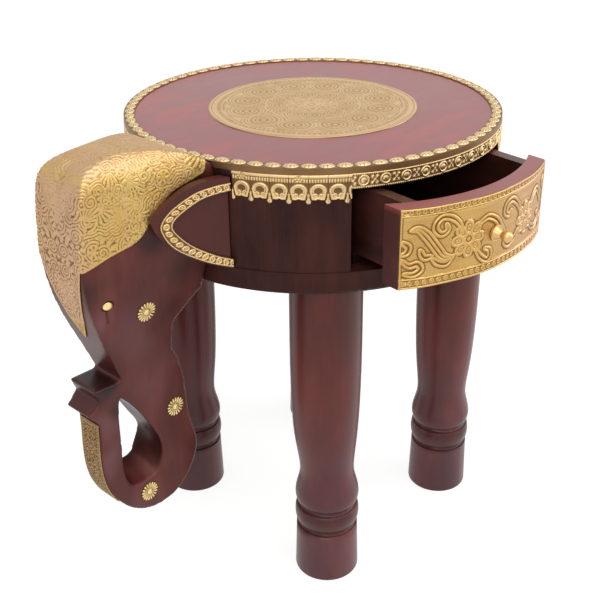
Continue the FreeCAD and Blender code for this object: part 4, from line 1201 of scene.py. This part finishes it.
sheetOnHead("foreheadSheet", coverOutline, coverRelief, coverSheet, ["forehead_brass"], clearOfDrum,
            coverShade)
sheetOnHead("trunkSheet", stripOutline, stripRelief, stripSheet, ["trunk_strip"],
            lambda centres, normals: normals[:, 1] > 0.2)
print("brass on the head ready")


# The near leg, which its turner left fuller than its pattern

nearLeg = {
    "foot": 105.0,           # mm, below this it follows its pattern
    "full": 175.0,           # mm, above this it has its whole swell
    "swell": 1.035,
    "outward": 1.6,          # mm
    "away": (-0.73, -0.68),  # the way it goes, across and along the head
}


def fullerLeg(name):
    low, high = (Vector(corner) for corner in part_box(name))
    middle = (low + high) / 2
    bm = bmesh.new()
    bm.from_mesh(nodes[name].data)
    bmesh.ops.remove_doubles(bm, verts=bm.verts, dist=0.01 * mm)
    for vert in bm.verts:
        share = (vert.co.z / mm - nearLeg["foot"]) / (nearLeg["full"] - nearLeg["foot"])
        share = min(max(share, 0), 1)
        share = share * share * (3 - 2 * share)
        for axis, push in enumerate(nearLeg["away"]):
            fromMiddle = vert.co[axis] - middle[axis]
            vert.co[axis] += share * (fromMiddle * (nearLeg["swell"] - 1) + push * nearLeg["outward"] * mm)
    bmesh.ops.recalc_face_normals(bm, faces=bm.faces)
    mesh = meshFrom("handTurnedNearLeg", bm)
    pieceFrom("handTurnedNearLeg", mesh, mahoganyLeg, [name], smooth=False)


fullerLeg("leg_front_left")
print("near leg ready")


# Rosettes and eyes, set on the head where a ray from the side meets it

cheeks = {
    "rosettes": [(0.5, 0.631), (0.242, 0.284), (0.55, 0.052)],
    "radius": 9.6,
    "petals": 17,
    "eye": (0.817, 0.692),
    "eyeLength": 13.0,
    "eyeWidth": 10.0,
    "eyeRim": 0.74,        # share of the oval inside the dark rim
    "eyeTilt": 20.0,
    "edge": -0.9,          # mm, the folded edge goes this far into the wood
}


def onCheek(pair, hand):
    # A frame on the cheek whose Z axis points out of the wood and whose Y axis points up
    y, z = sidePlace([pair])[0]
    start = Vector((axisX + hand * 200 * mm, axisY + y * mm, z * mm))
    spot, normal, _, _ = headTree.ray_cast(start, Vector((-hand, 0, 0)))
    away = normal.normalized()
    side = Vector((0, 0, 1)).cross(away).normalized()
    matrix = Matrix((side, away.cross(side), away)).transposed().to_4x4()
    matrix.translation = spot
    return matrix


def cheekRosette(share, spin):
    petal = fadeIn(np.abs(np.cos(spin * cheeks["petals"] / 2)), 0.4, 0.35)
    radius = cheeks["radius"] * share * (1 - 0.09 * (1 - petal) * (share > 0.8))
    swell = np.sin(fadeIn(share, 0.48, 0.52) * math.pi) ** 0.4
    petals = np.where(share > 0.5, petal ** 1.2 * swell, 0)
    beads = ridge(share - 0.46, 0.06) * np.abs(np.cos(spin * 9))
    dome = bulge(share, 0.36) ** 0.5
    raised = stronger(petals, beads, dome)
    out = 0.5 + 0.9 * petals + 0.9 * beads + 1.6 * dome
    return radius * np.cos(spin), radius * np.sin(spin), out, raised


def eyeBrass(share, spin):
    x = share * cheeks["eyeLength"] / 2 * np.cos(spin)
    y = share * cheeks["eyeWidth"] / 2 * np.sin(spin)
    inside = share < cheeks["eyeRim"]
    return x, y, 0.9 + 1.3 * bulge(share, cheeks["eyeRim"]) ** 0.5, inside * 1.0


plate = roundPlate("cheekRosetteUnit", 14, 102, cheekRosette, cheeks["edge"])
eyePlate = roundPlate("eyeUnit", 12, 32, eyeBrass, cheeks["edge"])
for side, hand in (("left", 1), ("right", -1)):
    rosettesBm, eyeBm = bmesh.new(), bmesh.new()
    for pair in cheeks["rosettes"]:
        addCopy(rosettesBm, plate, onCheek(pair, hand))
    tilt = Matrix.Rotation(math.radians(cheeks["eyeTilt"]) * -hand, 4, "Z")
    addCopy(eyeBm, eyePlate, onCheek(cheeks["eye"], hand) @ tilt)
    for name, bm, replaced in (("cheekRosettes", rosettesBm, "cheek_rosettes_"), ("eye", eyeBm, "eye_")):
        closeSeams(bm)
        name = name + side.capitalize()
        pieceFrom(name, meshFrom(name, bm), rosetteBrass, [replaced + side])
print("eyes and rosettes ready")


# Bossed strip along the ear's edge, drawn in the ear's own plane

earStrip = {
    "outer": [(0.003, 0.889), (0.24, 0.885), (0.475, 0.855), (0.75, 0.75), (0.885, 0.633), (0.87, 0.53),
              (0.77, 0.4), (0.6, 0.285), (0.3, 0.14), (0.003, 0.037)],
    "inner": [(0.003, 0.8145), (0.2, 0.81), (0.4, 0.784), (0.65, 0.69), (0.745, 0.608), (0.7, 0.513),
              (0.515, 0.36), (0.243, 0.214), (0.003, 0.12)],
    "length": 72.0,
    "height": 89.0,
    "floor": 18.0,          # mm above the base board's underside
    "turn": math.radians(-15),
    "rear": (62.0, -167.92),
    "pitch": 7.0,
    "sheet": 0.7,
    "relief": 1.3,
    "cols": 300,            # steps along and across the strip
    "rows": 16,
}


def evenLine(points, count):
    line = smoothLine(points, 30)
    lengths = lengthsAlong(line)
    at = np.linspace(0, lengths[-1], count)
    return np.stack([np.interp(at, lengths, line[:, 0]), np.interp(at, lengths, line[:, 1])], 1)


def earPlane(points):
    return np.array(points) * [earStrip["length"], earStrip["height"]]


outerLine, innerLine = (evenLine(earPlane(earStrip[key]), earStrip["cols"] + 1) for key in ("outer", "inner"))
stripLength = lengthsAlong((outerLine + innerLine) / 2)
for side, hand in (("left", 1), ("right", -1)):
    mesh = flatGrid("earStripMesh", earStrip["cols"], earStrip["rows"])
    grid = meshPoints(mesh)
    column = np.rint((grid[:, 0] + 0.5) * earStrip["cols"]).astype(int)
    across = grid[:, 1] + 0.5
    spot = outerLine[column] * (1 - across)[:, None] + innerLine[column] * across[:, None]
    halfWidth = np.hypot(*(outerLine - innerLine).T)[column] / 2
    u, v = stripLength[column], (across - 0.5) * 2 * halfWidth
    edge = halfWidth - np.abs(v)
    boss = np.hypot(u % earStrip["pitch"] - earStrip["pitch"] / 2, v)
    raised = stronger(np.where(boss < 3.2, stronger(ridge(boss - 2.2, 0.7), ridge(boss, 0.8)), 0),
                      bulge(edge - 0.6, 0.7, 1.2) * (0.75 + 0.25 * np.cos(u * 3.3)))
    out = pressedOut(grid, earStrip, raised)
    turn = earStrip["turn"]
    x = out * math.cos(turn) + spot[:, 0] * math.sin(turn)
    y = out * math.sin(turn) - spot[:, 0] * math.cos(turn)
    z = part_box("base_board")[0][2] / mm + earStrip["floor"] + spot[:, 1]
    points = np.stack([(earStrip["rear"][0] + x) * hand, earStrip["rear"][1] + y, z], 1) * mm
    setPoints(mesh, placed(points, drumFrame))
    storeHollow(mesh, raised)
    editMesh(mesh, lambda bm: bmesh.ops.recalc_face_normals(bm, faces=bm.faces))
    pieceFrom("earStrip" + side.capitalize(), mesh, fringeBrass, ["ear_bead_strip_" + side])
print("ear strips ready")
